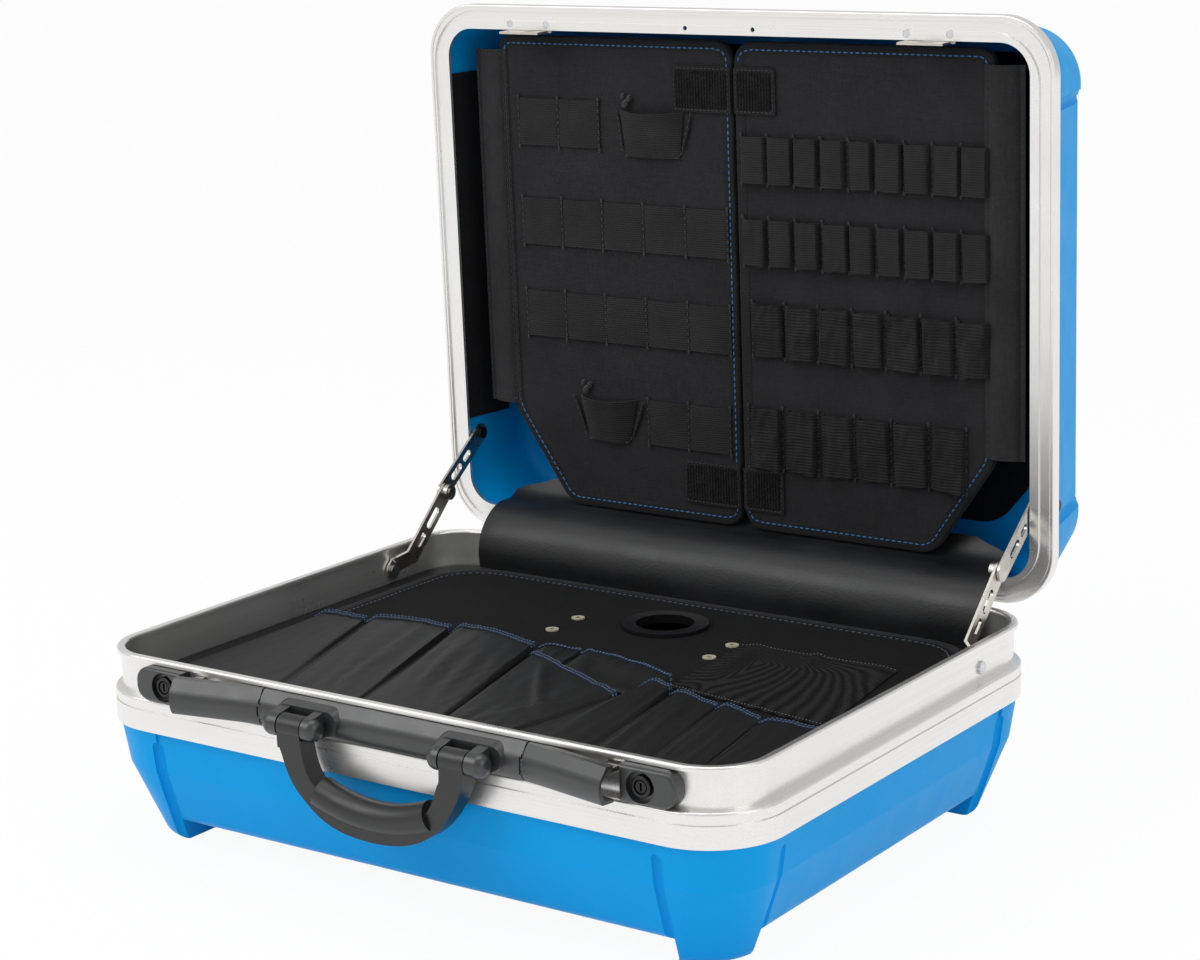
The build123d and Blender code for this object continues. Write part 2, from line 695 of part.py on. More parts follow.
with BuildPart() as hinge_base_rivets:
    for s in (1, -1):
        for dx in (-16, 0, 16):
            rod(
                (s * HINGE_X + dx, CASE_Y + 182.7, 106), (s * HINGE_X + dx, CASE_Y + 183.8, 106), 2.2,
            )
write(hinge_base_rivets, "hinge_base_rivets")

with BuildPart() as hinge_lid_rivets:
    for s in (1, -1):
        for dx in (-16, 16):
            rod(
                lid_point(s * HINGE_X + dx, rear_up - 1.75, 4.4),
                lid_point(s * HINGE_X + dx, rear_up - 2.75, 4.4), 2.0,
            )
write(hinge_lid_rivets, "hinge_lid_rivets")

# ---------------------------------------------------------------- strikes
def strike(x, window):
    """A strike screwed behind the lid's face, with the window that its hook takes hold of."""
    with BuildPart() as bracket:
        with BuildSketch(rim(FACE + 0.05)):
            with Locations((x, SCREW_UP - 1.6)):
                RectangleRounded(36, 8.6, 1.5)
        extrude(amount=-1.6)
        with BuildSketch(rim(FACE + 1.6)):
            with Locations((x, DEPTH / 2 - FACE_WIDTH - 1.0)):
                Rectangle(32, 1.5)
        extrude(amount=FACE + 1.6 + 11.6)
        with BuildSketch(rim(-8.8)):
            with Locations((window, DEPTH / 2 - FACE_WIDTH)):
                Rectangle(10.6, 8)
        extrude(amount=-3.2, mode=Mode.SUBTRACT)
        for dx in (-15.2, 15.2):
            rod(
                lid_point(x + dx, SCREW_UP, -1), lid_point(x + dx, SCREW_UP, 6), 1.55,
                Mode.SUBTRACT,
            )
    return bracket


write(strike(STRIKE_X, BAR_X + HOOK_X), "strike_right")
write(strike(-STRIKE_X, BAR_X - HOOK_X), "strike_left")

with BuildPart() as strike_screws:
    for s in (1, -1):
        for dx in (-15.2, 15.2):
            rod(
                lid_point(s * STRIKE_X + dx, SCREW_UP, 0.1), lid_point(s * STRIKE_X + dx, SCREW_UP, 2.3), 2.4,
            )
            rod(
                lid_point(s * STRIKE_X + dx, SCREW_UP, 1), lid_point(s * STRIKE_X + dx, SCREW_UP, 4.6), 1.5,
            )
write(strike_screws, "strike_screws")

# ---------------------------------------------------------------- stays
stay_base = Vector(0, CASE_Y + STAY_BASE_Y, STAY_BASE_Z)
stay_lid = lid_point(0, STAY_LID_UP, STAY_LID_DEPTH)
span = stay_lid - stay_base
along = (LOWER_LINK**2 - UPPER_LINK**2 + span.length**2) / (2 * span.length)
bow = (LOWER_LINK**2 - along**2) ** 0.5
across = Vector(0, -span.Z, span.Y).normalized()
stay_knee = stay_base + span.normalized() * along + across * bow


def link(start, end, x_end, x_main, joggle_from, joggle_to):
    """A slotted steel link beside the side wall, cranked outwards near its first pivot."""
    run = end - start
    length = run.length
    way = run.normalized()
    half = LINK_WIDTH / 2
    flat = Plane(origin=start, x_dir=way, z_dir=(1, 0, 0))
    with BuildPart() as bar:
        with BuildSketch(Plane(origin=start, x_dir=way, z_dir=way.cross(Vector(1, 0, 0)))) as s_bend:
            turn = 1 if s_bend.workplanes[0].y_dir.X > 0 else -1
            with BuildLine():
                Polyline(
                    (-half, turn * x_end), (joggle_from, turn * x_end),
                    (joggle_to, turn * x_main), (length + half, turn * x_main),
                    (length + half, turn * (x_main + LINK_THICK)),
                    (joggle_to + 0.8, turn * (x_main + LINK_THICK)),
                    (joggle_from + 0.8, turn * (x_end + LINK_THICK)),
                    (-half, turn * (x_end + LINK_THICK)), close=True,
                )
            make_face()
        extrude(amount=half, both=True)
        with BuildSketch(flat.offset(x_main - 5)):
            with Locations((length / 2, 0)):
                SlotCenterToCenter(length, LINK_WIDTH)
        extrude(amount=25, mode=Mode.INTERSECT)
        with BuildSketch(flat.offset(x_main - 5)):
            Circle(2.06)
            with Locations((length * 0.40, 0)):
                SlotOverall(length * 0.17, 4.6)
            with Locations((length * 0.67, 0)):
                SlotOverall(length * 0.25, 5.4)
        extrude(amount=25, mode=Mode.SUBTRACT)
    return bar


LOWER_X = 218.6
UPPER_X = 220.8
LINK_THICK = 1.8
lower_core = link(stay_base, stay_knee, 228.4, LOWER_X, 4.5, 13.0)
with BuildPart() as stay_lower:
    add(lower_core.part)
    rod(stay_knee + Vector(LOWER_X + 1, 0, 0), stay_knee + Vector(214.6, 0, 0), 5.6)
    rod(stay_knee + Vector(215, 0, 0), stay_knee + Vector(213.6, 0, 0), 3.4)
write_pair(stay_lower, "stay_lower")

stay_upper = link(stay_lid, stay_knee, UPPER_X, UPPER_X, 4.0, 12.0)
write_pair(stay_upper, "stay_upper")

with BuildPart() as stay_base_rivets:
    for s in (1, -1):
        rod(stay_base + Vector(s * 226.9, 0, 0), stay_base + Vector(s * 228.2, 0, 0), 4.0)
        rod(stay_base + Vector(s * 227.5, 0, 0), stay_base + Vector(s * 234.0, 0, 0), 2.0)
        rod(stay_base + Vector(s * 233.0, 0, 0), stay_base + Vector(s * 234.6, 0, 0), 4.2)
write(stay_base_rivets, "stay_base_rivets")

with BuildPart() as stay_screws:
    for s in (1, -1):
        rod(stay_lid + Vector(s * 218.7, 0, 0), stay_lid + Vector(s * 220.4, 0, 0), 4.0)
        rod(stay_lid + Vector(s * 219.5, 0, 0), stay_lid + Vector(s * 236.8, 0, 0), 2.0)
        rod(stay_lid + Vector(s * 236.4, 0, 0), stay_lid + Vector(s * 237.7, 0, 0), 3.9)
write(stay_screws, "stay_screws")

# ---------------------------------------------------------------- lid lining
with BuildPart() as lid_panel:
    with BuildSketch(lid_level(0, -112, 0)):
        with BuildLine():
            Polyline((231.9, -6), (230.9, -6), (222.95, -50), (223.95, -50), close=True)
        make_face()
    extrude(amount=-250)
write_pair(lid_panel, "lid_panel")

# cloth glued to the inside of the lid's back
BACK_LINING = 67.2
with BuildPart() as lid_back_lining:
    with BuildSketch(rim(BACK_LINING)):
        with BuildLine():
            FilletPolyline(
                (-196, 158), (-196, -122), (-168, -156), (168, -156), (196, -122), (196, 158),
                radius=12, close=True,
            )
        make_face()
    extrude(amount=-1.1)
write(lid_back_lining, "lid_back_lining")

with BuildPart() as spine:
    with BuildSketch(rim(DOOR_FACE + 1.0)):
        with Locations((203.5, 30)):
            RectangleRounded(18, 252, 3)
    extrude(amount=-3)
write_pair(spine, "door_spine")

with BuildPart() as hinge_cover:
    with BuildSketch(side(-201)):
        with BuildLine():
            outer = Spline(
                (173.6, 99), (171.5, 112), (175, 126), (185, 137), (197, 142.2), (210, 142.6),
                (219, 146.5), (226, 157),
            )
            inner = Spline(
                (227, 156.4), (219.8, 145.6), (210.2, 141.5), (197.4, 141.1), (185.8, 136.2),
                (176.1, 125.4), (172.7, 112), (174.8, 99),
            )
            Line(outer @ 1, inner @ 0)
            Line(inner @ 1, outer @ 0)
        make_face()
    extrude(amount=402)
write(hinge_cover, "hinge_cover")


# ---------------------------------------------------------------- tool doors in the lid
def door(inner_edge, radius=11.0):
    """A right-hand door's board, with the lower outer corner cut off."""
    with BuildPart() as board:
        with BuildSketch(rim(DOOR_FACE)):
            with BuildLine():
                FilletPolyline(
                    (inner_edge, DOOR_BOTTOM), (inner_edge, DOOR_TOP), (DOOR_EDGE, DOOR_TOP),
                    (DOOR_EDGE, -99), (146, DOOR_BOTTOM), radius=radius, close=True,
                )
            make_face()
        extrude(amount=-DOOR_BOARD)
        rod(
            lid_point(DOOR_HINGE, -90, DOOR_FACE), lid_point(DOOR_HINGE, DOOR_TOP - 14, DOOR_FACE),
            1.3,
        )
    return board


write_pair(door(DOOR_GAP / 2 + 0.5), "door")


def loop_row(start, count, pitch, up, height, rise, flat):
    """A band of webbing sewn down between loops; start is its left end."""
    skin = 1.0
    with BuildPart() as row:
        with BuildSketch(lid_level(start, up, DOOR_FACE - 0.05)):
            with Locations((pitch * count / 2, skin / 2)):
                Rectangle(pitch * count, skin)
            for n in range(count):
                left, right = n * pitch + 1.2, (n + 1) * pitch - 1.2
                with BuildLine():
                    rise_line = ThreePointArc((left, 0), (left + flat, rise * 0.8), (left + 2.2 * flat, rise))
                    crown = Line(rise_line @ 1, (right - 2.2 * flat, rise))
                    fall = ThreePointArc(crown @ 1, (right - flat, rise * 0.8), (right, 0))
                    Line(fall @ 1, rise_line @ 0)
                make_face()
            for n in range(count):
                left, right = n * pitch + 1.2, (n + 1) * pitch - 1.2
                with BuildLine(mode=Mode.PRIVATE) as hollow:
                    rise_line = ThreePointArc(
                        (left + skin, 0), (left + flat + 0.6, rise * 0.8 - skin), (left + 2.2 * flat, rise - skin)
                    )
                    crown = Line(rise_line @ 1, (right - 2.2 * flat, rise - skin))
                    fall = ThreePointArc(
                        crown @ 1, (right - flat - 0.6, rise * 0.8 - skin), (right - skin, 0)
                    )
                    Line(fall @ 1, rise_line @ 0)
                make_face(hollow.edges(), mode=Mode.SUBTRACT)
        extrude(amount=-height)
    return row


ROWS_LEFT = ((1, 2, -176.0, 2, 34.0, 90, 33), (2, 5, -176.0, 5, 34.0, 20, 33),
             (3, 5, -176.0, 5, 34.0, -46, 33), (4, 2, -76.0, 2, 34.0, -116, 32))
for number, _, start, count, pitch, up, height in ROWS_LEFT:
    write(loop_row(start, count, pitch, up, height, 3.0, 1.6), f"left_row_{number}")

ROWS_RIGHT = ((1, 5.5, 9, 20.4, 73, 31), (2, 5.5, 9, 20.4, 18, 31),
              (3, 11.0, 7, 25.6, -44, 36), (4, 6.0, 6, 27.6, -122, 42))
for number, start, count, pitch, up, height in ROWS_RIGHT:
    write(loop_row(start, count, pitch, up, height, 4.8, 2.0), f"right_row_{number}")

with BuildPart() as holster_pouches:
    for x, up in ((-65, 86), (-109, -117)):
        with BuildSketch(rim(DOOR_FACE - 0.05)):
            with BuildLine():
                Polyline((x - 25, up), (x + 25, up), (x + 33, up + 32), (x - 33, up + 32), close=True)
            make_face()
        extrude(amount=12, taper=12)
        with BuildSketch(lid_level(x, up + 3, DOOR_FACE - 1.5)):
            with Locations((0, 4.2)):
                Rectangle(38, 8.0)
        extrude(amount=-40, mode=Mode.SUBTRACT)
write(holster_pouches, "holster_pouches")

for name, x0, x1 in (("straps_left", -47.0, -1.2), ("straps_right", 1.2, 33.0)):
    with BuildPart() as straps:
        for up in (118, -154):
            with BuildSketch(rim(DOOR_FACE - 0.05)):
                with Locations(((x0 + x1) / 2, up + 15.5)):
                    RectangleRounded(x1 - x0, 31, 1.5)
            extrude(amount=2.0)
    write(straps, name)

# ---------------------------------------------------------------- tool pallet in the base
pallet_top = PALLET_Z + PALLET_BOARD
GROMMET = (4.6, 102.9)
with BuildPart() as pallet_board:
    with BuildSketch(level(PALLET_Z)):
        RectangleRounded(PALLET_WIDTH, PALLET_DEPTH, PALLET_CORNER)
        with Locations(GROMMET):
            Circle(25.0, mode=Mode.SUBTRACT)
    extrude(amount=PALLET_BOARD)
write(pallet_board, "pallet_board")

with BuildPart() as pallet_grommet:
    with BuildSketch(level(PALLET_Z - 0.2)):
        with Locations(GROMMET):
            Circle(24.8)
            Circle(19.5, mode=Mode.SUBTRACT)
    extrude(amount=PALLET_BOARD + 0.5)
    with BuildSketch(level(pallet_top + 0.1)):
        with Locations(GROMMET):
            Circle(29.0)
            Circle(19.5, mode=Mode.SUBTRACT)
    extrude(amount=2.4)
write(pallet_grommet, "pallet_grommet")

with BuildPart() as pallet_eyelets:
    for x, y in ((-54.4, 57.0), (-55.4, 88.4), (68.6, 55.8), (67.0, 86.0)):
        with BuildSketch(level(pallet_top + 0.05)):
            with Locations((x, y)):
                Circle(4.4)
                Circle(2.0, mode=Mode.SUBTRACT)
        extrude(amount=0.9)
write(pallet_eyelets, "pallet_eyelets")


def pocket(x0, x1, mouth, foot, rise_mouth, rise_foot, pleats):
    """A pleated pocket: lies flat at its foot and stands up at its mouth."""
    width = (x1 - x0) / pleats
    with BuildPart() as body:
        for n in range(pleats):
            left = x0 + n * width + 0.4
            with BuildSketch(side(left)):
                with BuildLine():
                    top = ThreePointArc(
                        (mouth, pallet_top + rise_mouth), ((mouth + foot) / 2, pallet_top + rise_mouth),
                        (foot, pallet_top + rise_foot),
                    )
                    Polyline(
                        top @ 1, (foot, pallet_top + 0.1), (mouth, pallet_top + 0.1), top @ 0,
                    )
                make_face()
            extrude(amount=width - 0.8)
        with BuildSketch(level(pallet_top + 0.1)):
            with Locations(((x0 + x1) / 2, (mouth + foot) / 2)):
                Rectangle(x1 - x0 - 1, abs(mouth - foot))
        extrude(amount=1.2)
    return body


write(pocket(-206, -38, 12, -150, 9, 3, 5), "pockets_left")
write(pocket(-36, 62, 28, -1, 8, 4, 3), "pockets_rear")
write(pocket(-36, 62, -3, -150, 9, 3, 3), "pockets_middle")
write(pocket(64, 206, -16, -150, 9, 3, 5), "pockets_right")

with BuildPart() as mesh_pocket:
    with BuildSketch(level(pallet_top + 0.1)):
        with Locations((138, 42)):
            RectangleRounded(124, 110, 4)
    extrude(amount=2.5)
write(mesh_pocket, "mesh_pocket")
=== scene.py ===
import math
import random

import bmesh
import bpy
from mathutils import Matrix, Vector, noise


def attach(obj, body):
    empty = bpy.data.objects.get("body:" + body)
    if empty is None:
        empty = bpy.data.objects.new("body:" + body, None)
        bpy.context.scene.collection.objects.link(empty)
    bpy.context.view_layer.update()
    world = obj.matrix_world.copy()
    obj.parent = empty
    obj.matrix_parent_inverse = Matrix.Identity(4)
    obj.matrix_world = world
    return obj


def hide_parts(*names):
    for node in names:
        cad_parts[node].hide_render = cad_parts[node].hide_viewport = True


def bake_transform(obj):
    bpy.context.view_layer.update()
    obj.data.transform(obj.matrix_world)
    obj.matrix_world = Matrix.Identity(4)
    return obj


bl_info = {
    "name": "Hard tool case",
    "version": (1, 0, 0),
    "blender": (4, 5, 0),
    "location": "View3D > Sidebar > Tool Case",
    "description": "Dresses the packed model of an open hard tool case with its lining, pockets and finishes",
    "category": "Object",
}

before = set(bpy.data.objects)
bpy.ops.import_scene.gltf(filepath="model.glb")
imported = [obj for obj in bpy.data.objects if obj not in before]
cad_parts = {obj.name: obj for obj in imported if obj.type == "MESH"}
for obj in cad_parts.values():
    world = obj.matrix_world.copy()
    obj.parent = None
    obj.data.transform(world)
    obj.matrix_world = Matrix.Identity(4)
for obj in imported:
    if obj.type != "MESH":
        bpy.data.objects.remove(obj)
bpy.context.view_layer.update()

# ------------------------------------------------------------------ places, in millimetres
MM = 0.001
CASE_Y = -28.0
OPEN_TURN = math.radians(88.0)
LID_UP = Vector((0.0, -math.cos(OPEN_TURN), math.sin(OPEN_TURN)))
LID_IN = Vector((0.0, math.sin(OPEN_TURN), math.cos(OPEN_TURN)))
LID_MIDDLE = Vector((0.0, CASE_Y + 192.0, 119.5)) + LID_UP * 192.0 + LID_IN * 4.0
BASE_PLACE = Matrix.Scale(MM, 4) @ Matrix.Translation((0.0, CASE_Y, 0.0))
LID_PLACE = Matrix.Scale(MM, 4) @ Matrix.Translation(LID_MIDDLE) @ Matrix((
    (1.0, 0.0, 0.0, 0.0),
    (0.0, LID_UP.y, -LID_IN.y, 0.0),
    (0.0, LID_UP.z, -LID_IN.z, 0.0),
    (0.0, 0.0, 0.0, 1.0),
))
DOOR_FACE = -16.0      # front of the tool doors, behind the lid's rim
PALLET_TOP = 102.0


# ------------------------------------------------------------------ materials
def new_material(name, colour, roughness, metallic=0.0, **extra):
    """A material with its Principled shader's plain values set, and its node tree."""
    material = bpy.data.materials.new(name)
    material.use_nodes = True
    tree = material.node_tree
    shader = tree.nodes["Principled BSDF"]
    shader.inputs["Base Color"].default_value = (*colour, 1.0)
    shader.inputs["Roughness"].default_value = roughness
    shader.inputs["Metallic"].default_value = metallic
    for socket, value in extra.items():
        shader.inputs[socket.replace("_", " ")].default_value = value
    return material, tree, shader


def add_node(tree, kind, inputs=(), **settings):
    node = tree.nodes.new(kind)
    for key, value in settings.items():
        setattr(node, key, value)
    for key, value in inputs:
        if hasattr(value, "links"):
            tree.links.new(value, node.inputs[key])
        else:
            node.inputs[key].default_value = value
    return node


def object_coords(tree, scale=(1.0, 1.0, 1.0), turn=(0.0, 0.0, 0.0), shift=(0.0, 0.0, 0.0)):
    place = add_node(tree, "ShaderNodeTexCoord")
    return add_node(tree, "ShaderNodeMapping", (
        ("Vector", place.outputs["Object"]), ("Location", shift), ("Rotation", turn),
        ("Scale", scale),
    )).outputs["Vector"]


def grain(tree, vector, scale, detail=3.0, rough=0.55):
    return add_node(tree, "ShaderNodeTexNoise", (
        ("Vector", vector), ("Scale", scale), ("Detail", detail), ("Roughness", rough),
    )).outputs["Fac"]


def spread(tree, value, low, high, start=0.3, end=0.7):
    """Maps a grain's middle band to a range of values."""
    return add_node(tree, "ShaderNodeMapRange", (
        ("Value", value), ("From Min", start), ("From Max", end), ("To Min", low), ("To Max", high),
    )).outputs["Result"]


def mixed_colour(tree, factor, first, second):
    node = add_node(tree, "ShaderNodeMix", data_type="RGBA")
    tree.links.new(factor, node.inputs["Factor"])
    for socket, colour in ((6, first), (7, second)):
        if hasattr(colour, "links"):
            tree.links.new(colour, node.inputs[socket])
        else:
            node.inputs[socket].default_value = (*colour, 1.0)
    return node.outputs[2]


def bump(tree, shader, height, distance, strength=1.0, below=None):
    inputs = [("Height", height), ("Distance", distance), ("Strength", strength)]
    if below is not None:
        inputs.append(("Normal", below))
    node = add_node(tree, "ShaderNodeBump", inputs)
    tree.links.new(node.outputs["Normal"], shader.inputs["Normal"])
    return node.outputs["Normal"]


def math_node(tree, operation, first, second=0.0):
    node = add_node(tree, "ShaderNodeMath", ((0, first), (1, second)), operation=operation)
    return node.outputs["Value"]


def moulded_plastic(name, colour, deep, roughness, grain_scale=900.0, depth=0.00012, **extra):
    """Moulded plastic with a fine spark-eroded grain and a little unevenness in its colour."""
    material, tree, shader = new_material(name, colour, roughness, **extra)
    where = object_coords(tree)
    cloud = grain(tree, where, 14.0, 4.0)
    tint = mixed_colour(tree, spread(tree, cloud, 0.0, 1.0), colour, deep)
    tree.links.new(tint, shader.inputs["Base Color"])
    rub = grain(tree, where, 55.0, 5.0, 0.65)
    tree.links.new(spread(tree, rub, roughness - 0.05, roughness + 0.07), shader.inputs["Roughness"])
    soft = bump(tree, shader, grain(tree, where, 26.0, 2.0), 0.0004, 0.35)
    bump(tree, shader, grain(tree, where, grain_scale, 2.0, 0.6), depth, 0.8, soft)
    return material


def drawn_aluminium(name, lid):
    """Aluminium section with lines along its length and drag marks where it is bent."""
    material, tree, shader = new_material(name, (0.86, 0.87, 0.88), 0.3, 0.86)
    place = add_node(tree, "ShaderNodeTexCoord").outputs["Object"]
    if lid:
        shift, turn = LID_MIDDLE * MM, math.radians(-90.0)
        moved = add_node(tree, "ShaderNodeVectorMath", ((0, place), (1, shift)), operation="SUBTRACT")
        place = add_node(tree, "ShaderNodeMapping", (
            ("Vector", moved.outputs[0]), ("Rotation", (turn + math.radians(2.0), 0.0, 0.0)),
        )).outputs["Vector"]
    else:
        moved = add_node(
            tree, "ShaderNodeVectorMath", ((0, place), (1, (0.0, CASE_Y * MM, 0.0))),
            operation="SUBTRACT",
        )
        place = moved.outputs[0]
    axes = add_node(tree, "ShaderNodeSeparateXYZ", (("Vector", place),))
    across = math_node(tree, "SUBTRACT", 0.240, math_node(tree, "ABSOLUTE", axes.outputs["X"]))
    along = math_node(tree, "SUBTRACT", 0.188, math_node(tree, "ABSOLUTE", axes.outputs["Y"]))
    inset = math_node(tree, "MINIMUM", across, along)
    run = math_node(tree, "ADD", axes.outputs["X"], axes.outputs["Y"])
    lines = add_node(tree, "ShaderNodeCombineXYZ", (
        ("X", math_node(tree, "MULTIPLY", inset, 1500.0)),
        ("Y", math_node(tree, "MULTIPLY", axes.outputs["Z"], 1500.0)),
        ("Z", math_node(tree, "MULTIPLY", run, 5.0)),
    )).outputs["Vector"]
    drawn = grain(tree, lines, 1.0, 3.0, 0.6)
    # bent corners carry marks across the section
    corner = spread(tree, math_node(tree, "MAXIMUM", across, along), 1.0, 0.0, 0.030, 0.046)
    cross = add_node(tree, "ShaderNodeCombineXYZ", (
        ("X", math_node(tree, "MULTIPLY", axes.outputs["X"], 260.0)),
        ("Y", math_node(tree, "MULTIPLY", axes.outputs["Y"], 260.0)),
        ("Z", math_node(tree, "MULTIPLY", axes.outputs["Z"], 7.0)),
    )).outputs["Vector"]
    bent = math_node(tree, "MULTIPLY", grain(tree, cross, 1.0, 2.0), corner)
    patches = grain(tree, place, 18.0, 5.0, 0.6)
    tree.links.new(spread(tree, patches, 0.24, 0.36), shader.inputs["Roughness"])
    tint = mixed_colour(tree, spread(tree, drawn, 0.0, 1.0), (0.83, 0.82, 0.80), (0.90, 0.89, 0.87))
    tree.links.new(tint, shader.inputs["Base Color"])
    first = bump(tree, shader, drawn, 0.00004, 0.4)
    bump(tree, shader, bent, 0.0005, 0.45, first)
    return material


def plated_steel(name, colour, roughness, mark=0.00005, metallic=1.0):
    material, tree, shader = new_material(name, colour, roughness, metallic)
    where = object_coords(tree)
    wear_and_sheen = grain(tree, where, 70.0, 5.0, 0.65)
    tree.links.new(spread(tree, wear_and_sheen, roughness - 0.07, roughness + 0.14), shader.inputs["Roughness"])
    dull = tuple(c * 0.72 for c in colour)
    tree.links.new(
        mixed_colour(tree, spread(tree, grain(tree, where, 190.0, 3.0), 0.0, 0.6), colour, dull),
        shader.inputs["Base Color"],
    )
    bump(tree, shader, grain(tree, where, 1400.0, 3.0), mark, 0.7)
    return material


def woven_cloth(name, colour, wear_and_sheen, thread=0.9, axes="xz", depth=0.00016, sheen=0.12, mottle=24.0, rough=0.85, shine=0.18):
    """Plain weave: threads over and under each other along two axes, with a little fluff."""
    material, tree, shader = new_material(
        name, colour, rough, Sheen_Weight=sheen, Sheen_Roughness=0.45,
    )
    shader.inputs["Sheen Tint"].default_value = (0.55, 0.57, 0.62, 1.0)
    shader.inputs["Specular IOR Level"].default_value = shine
    where = object_coords(tree)
    parts = add_node(tree, "ShaderNodeSeparateXYZ", (("Vector", where),))
    pitch = math.pi / (thread * MM)
    waves = []
    for axis in axes.upper():
        stretched = math_node(tree, "MULTIPLY", parts.outputs[axis], pitch)
        waves.append(math_node(tree, "SINE", stretched))
    weave = math_node(tree, "MULTIPLY", waves[0], waves[1])
    fluff = grain(tree, where, 1700.0, 3.0, 0.7)
    height = math_node(tree, "ADD", math_node(tree, "MULTIPLY", weave, 0.5), fluff)
    cloud = grain(tree, where, mottle, 5.0, 0.62)
    slubs = []
    for axis in axes.upper():
        long = tuple(110.0 if name == axis else 780.0 for name in "XYZ")
        slubs.append(grain(tree, object_coords(tree, long), 1.0, 2.0, 0.6))
    slub = math_node(tree, "MULTIPLY", math_node(tree, "ADD", *slubs), 0.5)
    cloud = math_node(tree, "ADD", math_node(tree, "MULTIPLY", cloud, 0.45), math_node(tree, "MULTIPLY", slub, 0.55))
    # The lighter colour mixes random mottle and slubs with a painted highlight on the thread crests, where the weave
    # stands highest.
    lit = math_node(tree, "MULTIPLY", spread(tree, cloud, 0.2, 1.0, 0.38, 0.62), spread(tree, height, 0.3, 1.0, 0.0, 1.2))
    tree.links.new(mixed_colour(tree, lit, colour, wear_and_sheen), shader.inputs["Base Color"])
    slack = bump(tree, shader, grain(tree, where, 60.0, 3.0), 0.0006, 0.35)
    bump(tree, shader, height, depth, 0.9, slack)
    return material


def ribbed_tape(name, colour, wear_and_sheen, rib=1.5, axis="Z", depth=0.0003):
    """Webbing or elastic with ribs across it."""
    material, tree, shader = new_material(name, colour, 0.8, Sheen_Weight=0.12, Sheen_Roughness=0.4)
    shader.inputs["Sheen Tint"].default_value = (0.6, 0.62, 0.66, 1.0)
    shader.inputs["Specular IOR Level"].default_value = 0.22
    where = object_coords(tree)
    parts = add_node(tree, "ShaderNodeSeparateXYZ", (("Vector", where),))
    wander = math_node(tree, "MULTIPLY", grain(tree, where, 90.0, 2.0), 0.0016)
    shifted = math_node(tree, "ADD", parts.outputs[axis], wander)
    ribs = math_node(tree, "SINE", math_node(tree, "MULTIPLY", shifted, 2.0 * math.pi / (rib * MM)))
    fluff = grain(tree, where, 1500.0, 3.0, 0.7)
    height = math_node(tree, "ADD", math_node(tree, "MULTIPLY", ribs, 0.4), fluff)
    cloud = grain(tree, where, 35.0, 4.0, 0.6)
    # The lighter colour mixes random mottle with a painted highlight on the rib crests.
    lit = math_node(tree, "MULTIPLY", spread(tree, cloud, 0.4, 1.0), spread(tree, ribs, 0.35, 1.0, -1.0, 1.0))
    tree.links.new(mixed_colour(tree, lit, colour, wear_and_sheen), shader.inputs["Base Color"])
    bump(tree, shader, height, depth, 0.8)
    return material


def net_elastic(name):
    """Elastic net whose ribs follow the way it is gathered, kept in its rib attribute."""
    material, tree, shader = new_material(name, (0.008, 0.008, 0.009), 0.9, Sheen_Weight=0.02)
    shader.inputs["Specular IOR Level"].default_value = 0.08
    where = object_coords(tree)
    turn = add_node(tree, "ShaderNodeAttribute", attribute_name="rib").outputs["Fac"]
    wander = math_node(tree, "MULTIPLY", grain(tree, where, 60.0, 3.0), 2.6)
    ribs = math_node(tree, "SINE", math_node(tree, "ADD", math_node(tree, "MULTIPLY", turn, 3.0), wander))
    mesh = add_node(tree, "ShaderNodeTexVoronoi", (("Vector", where), ("Scale", 900.0))).outputs["Distance"]
    height = math_node(tree, "ADD", math_node(tree, "MULTIPLY", ribs, 0.6), mesh)
    lit = math_node(tree, "MULTIPLY", spread(tree, ribs, 0.1, 1.0, -1.0, 1.0), spread(tree, mesh, 0.5, 1.0, 0.0, 0.8))
    tree.links.new(mixed_colour(tree, lit, (0.002, 0.002, 0.002), (0.022, 0.022, 0.022)), shader.inputs["Base Color"])
    bump(tree, shader, height, 0.0006, 0.8)
    return material


def hook_and_loop(name):
    material, tree, shader = new_material(name, (0.012, 0.012, 0.013), 0.95, Sheen_Weight=0.05)
    shader.inputs["Specular IOR Level"].default_value = 0.12
    where = object_coords(tree)
    cells = add_node(tree, "ShaderNodeTexVoronoi", (("Vector", where), ("Scale", 620.0)))
    across = add_node(tree, "ShaderNodeSeparateXYZ", (("Vector", where),)).outputs["X"]
    rows = math_node(tree, "SINE", math_node(tree, "MULTIPLY", across, 2.0 * math.pi / (2.2 * MM)))
    tuft = math_node(tree, "ADD", cells.outputs["Distance"], math_node(tree, "MULTIPLY", rows, 0.35))
    patch = grain(tree, where, 120.0, 3.0)
    lit = math_node(tree, "MULTIPLY", spread(tree, patch, 0.2, 1.0), spread(tree, tuft, 1.0, 0.2, 0.0, 0.8))
    tree.links.new(
        mixed_colour(tree, lit, (0.003, 0.003, 0.003), (0.020, 0.020, 0.020)), shader.inputs["Base Color"],
    )
    bump(tree, shader, tuft, 0.0007, 0.9)
    return material


def sewing_thread(name, colour, light):
    material, tree, shader = new_material(name, colour, 0.6, Sheen_Weight=0.3)
    where = object_coords(tree)
    twist = add_node(tree, "ShaderNodeTexNoise", (("Vector", where), ("Scale", 900.0), ("Detail", 2.0)))
    tree.links.new(
        mixed_colour(tree, spread(tree, twist.outputs["Fac"], 0.0, 1.0), colour, light),
        shader.inputs["Base Color"],
    )
    bump(tree, shader, twist.outputs["Fac"], 0.0003, 0.6)
    return material


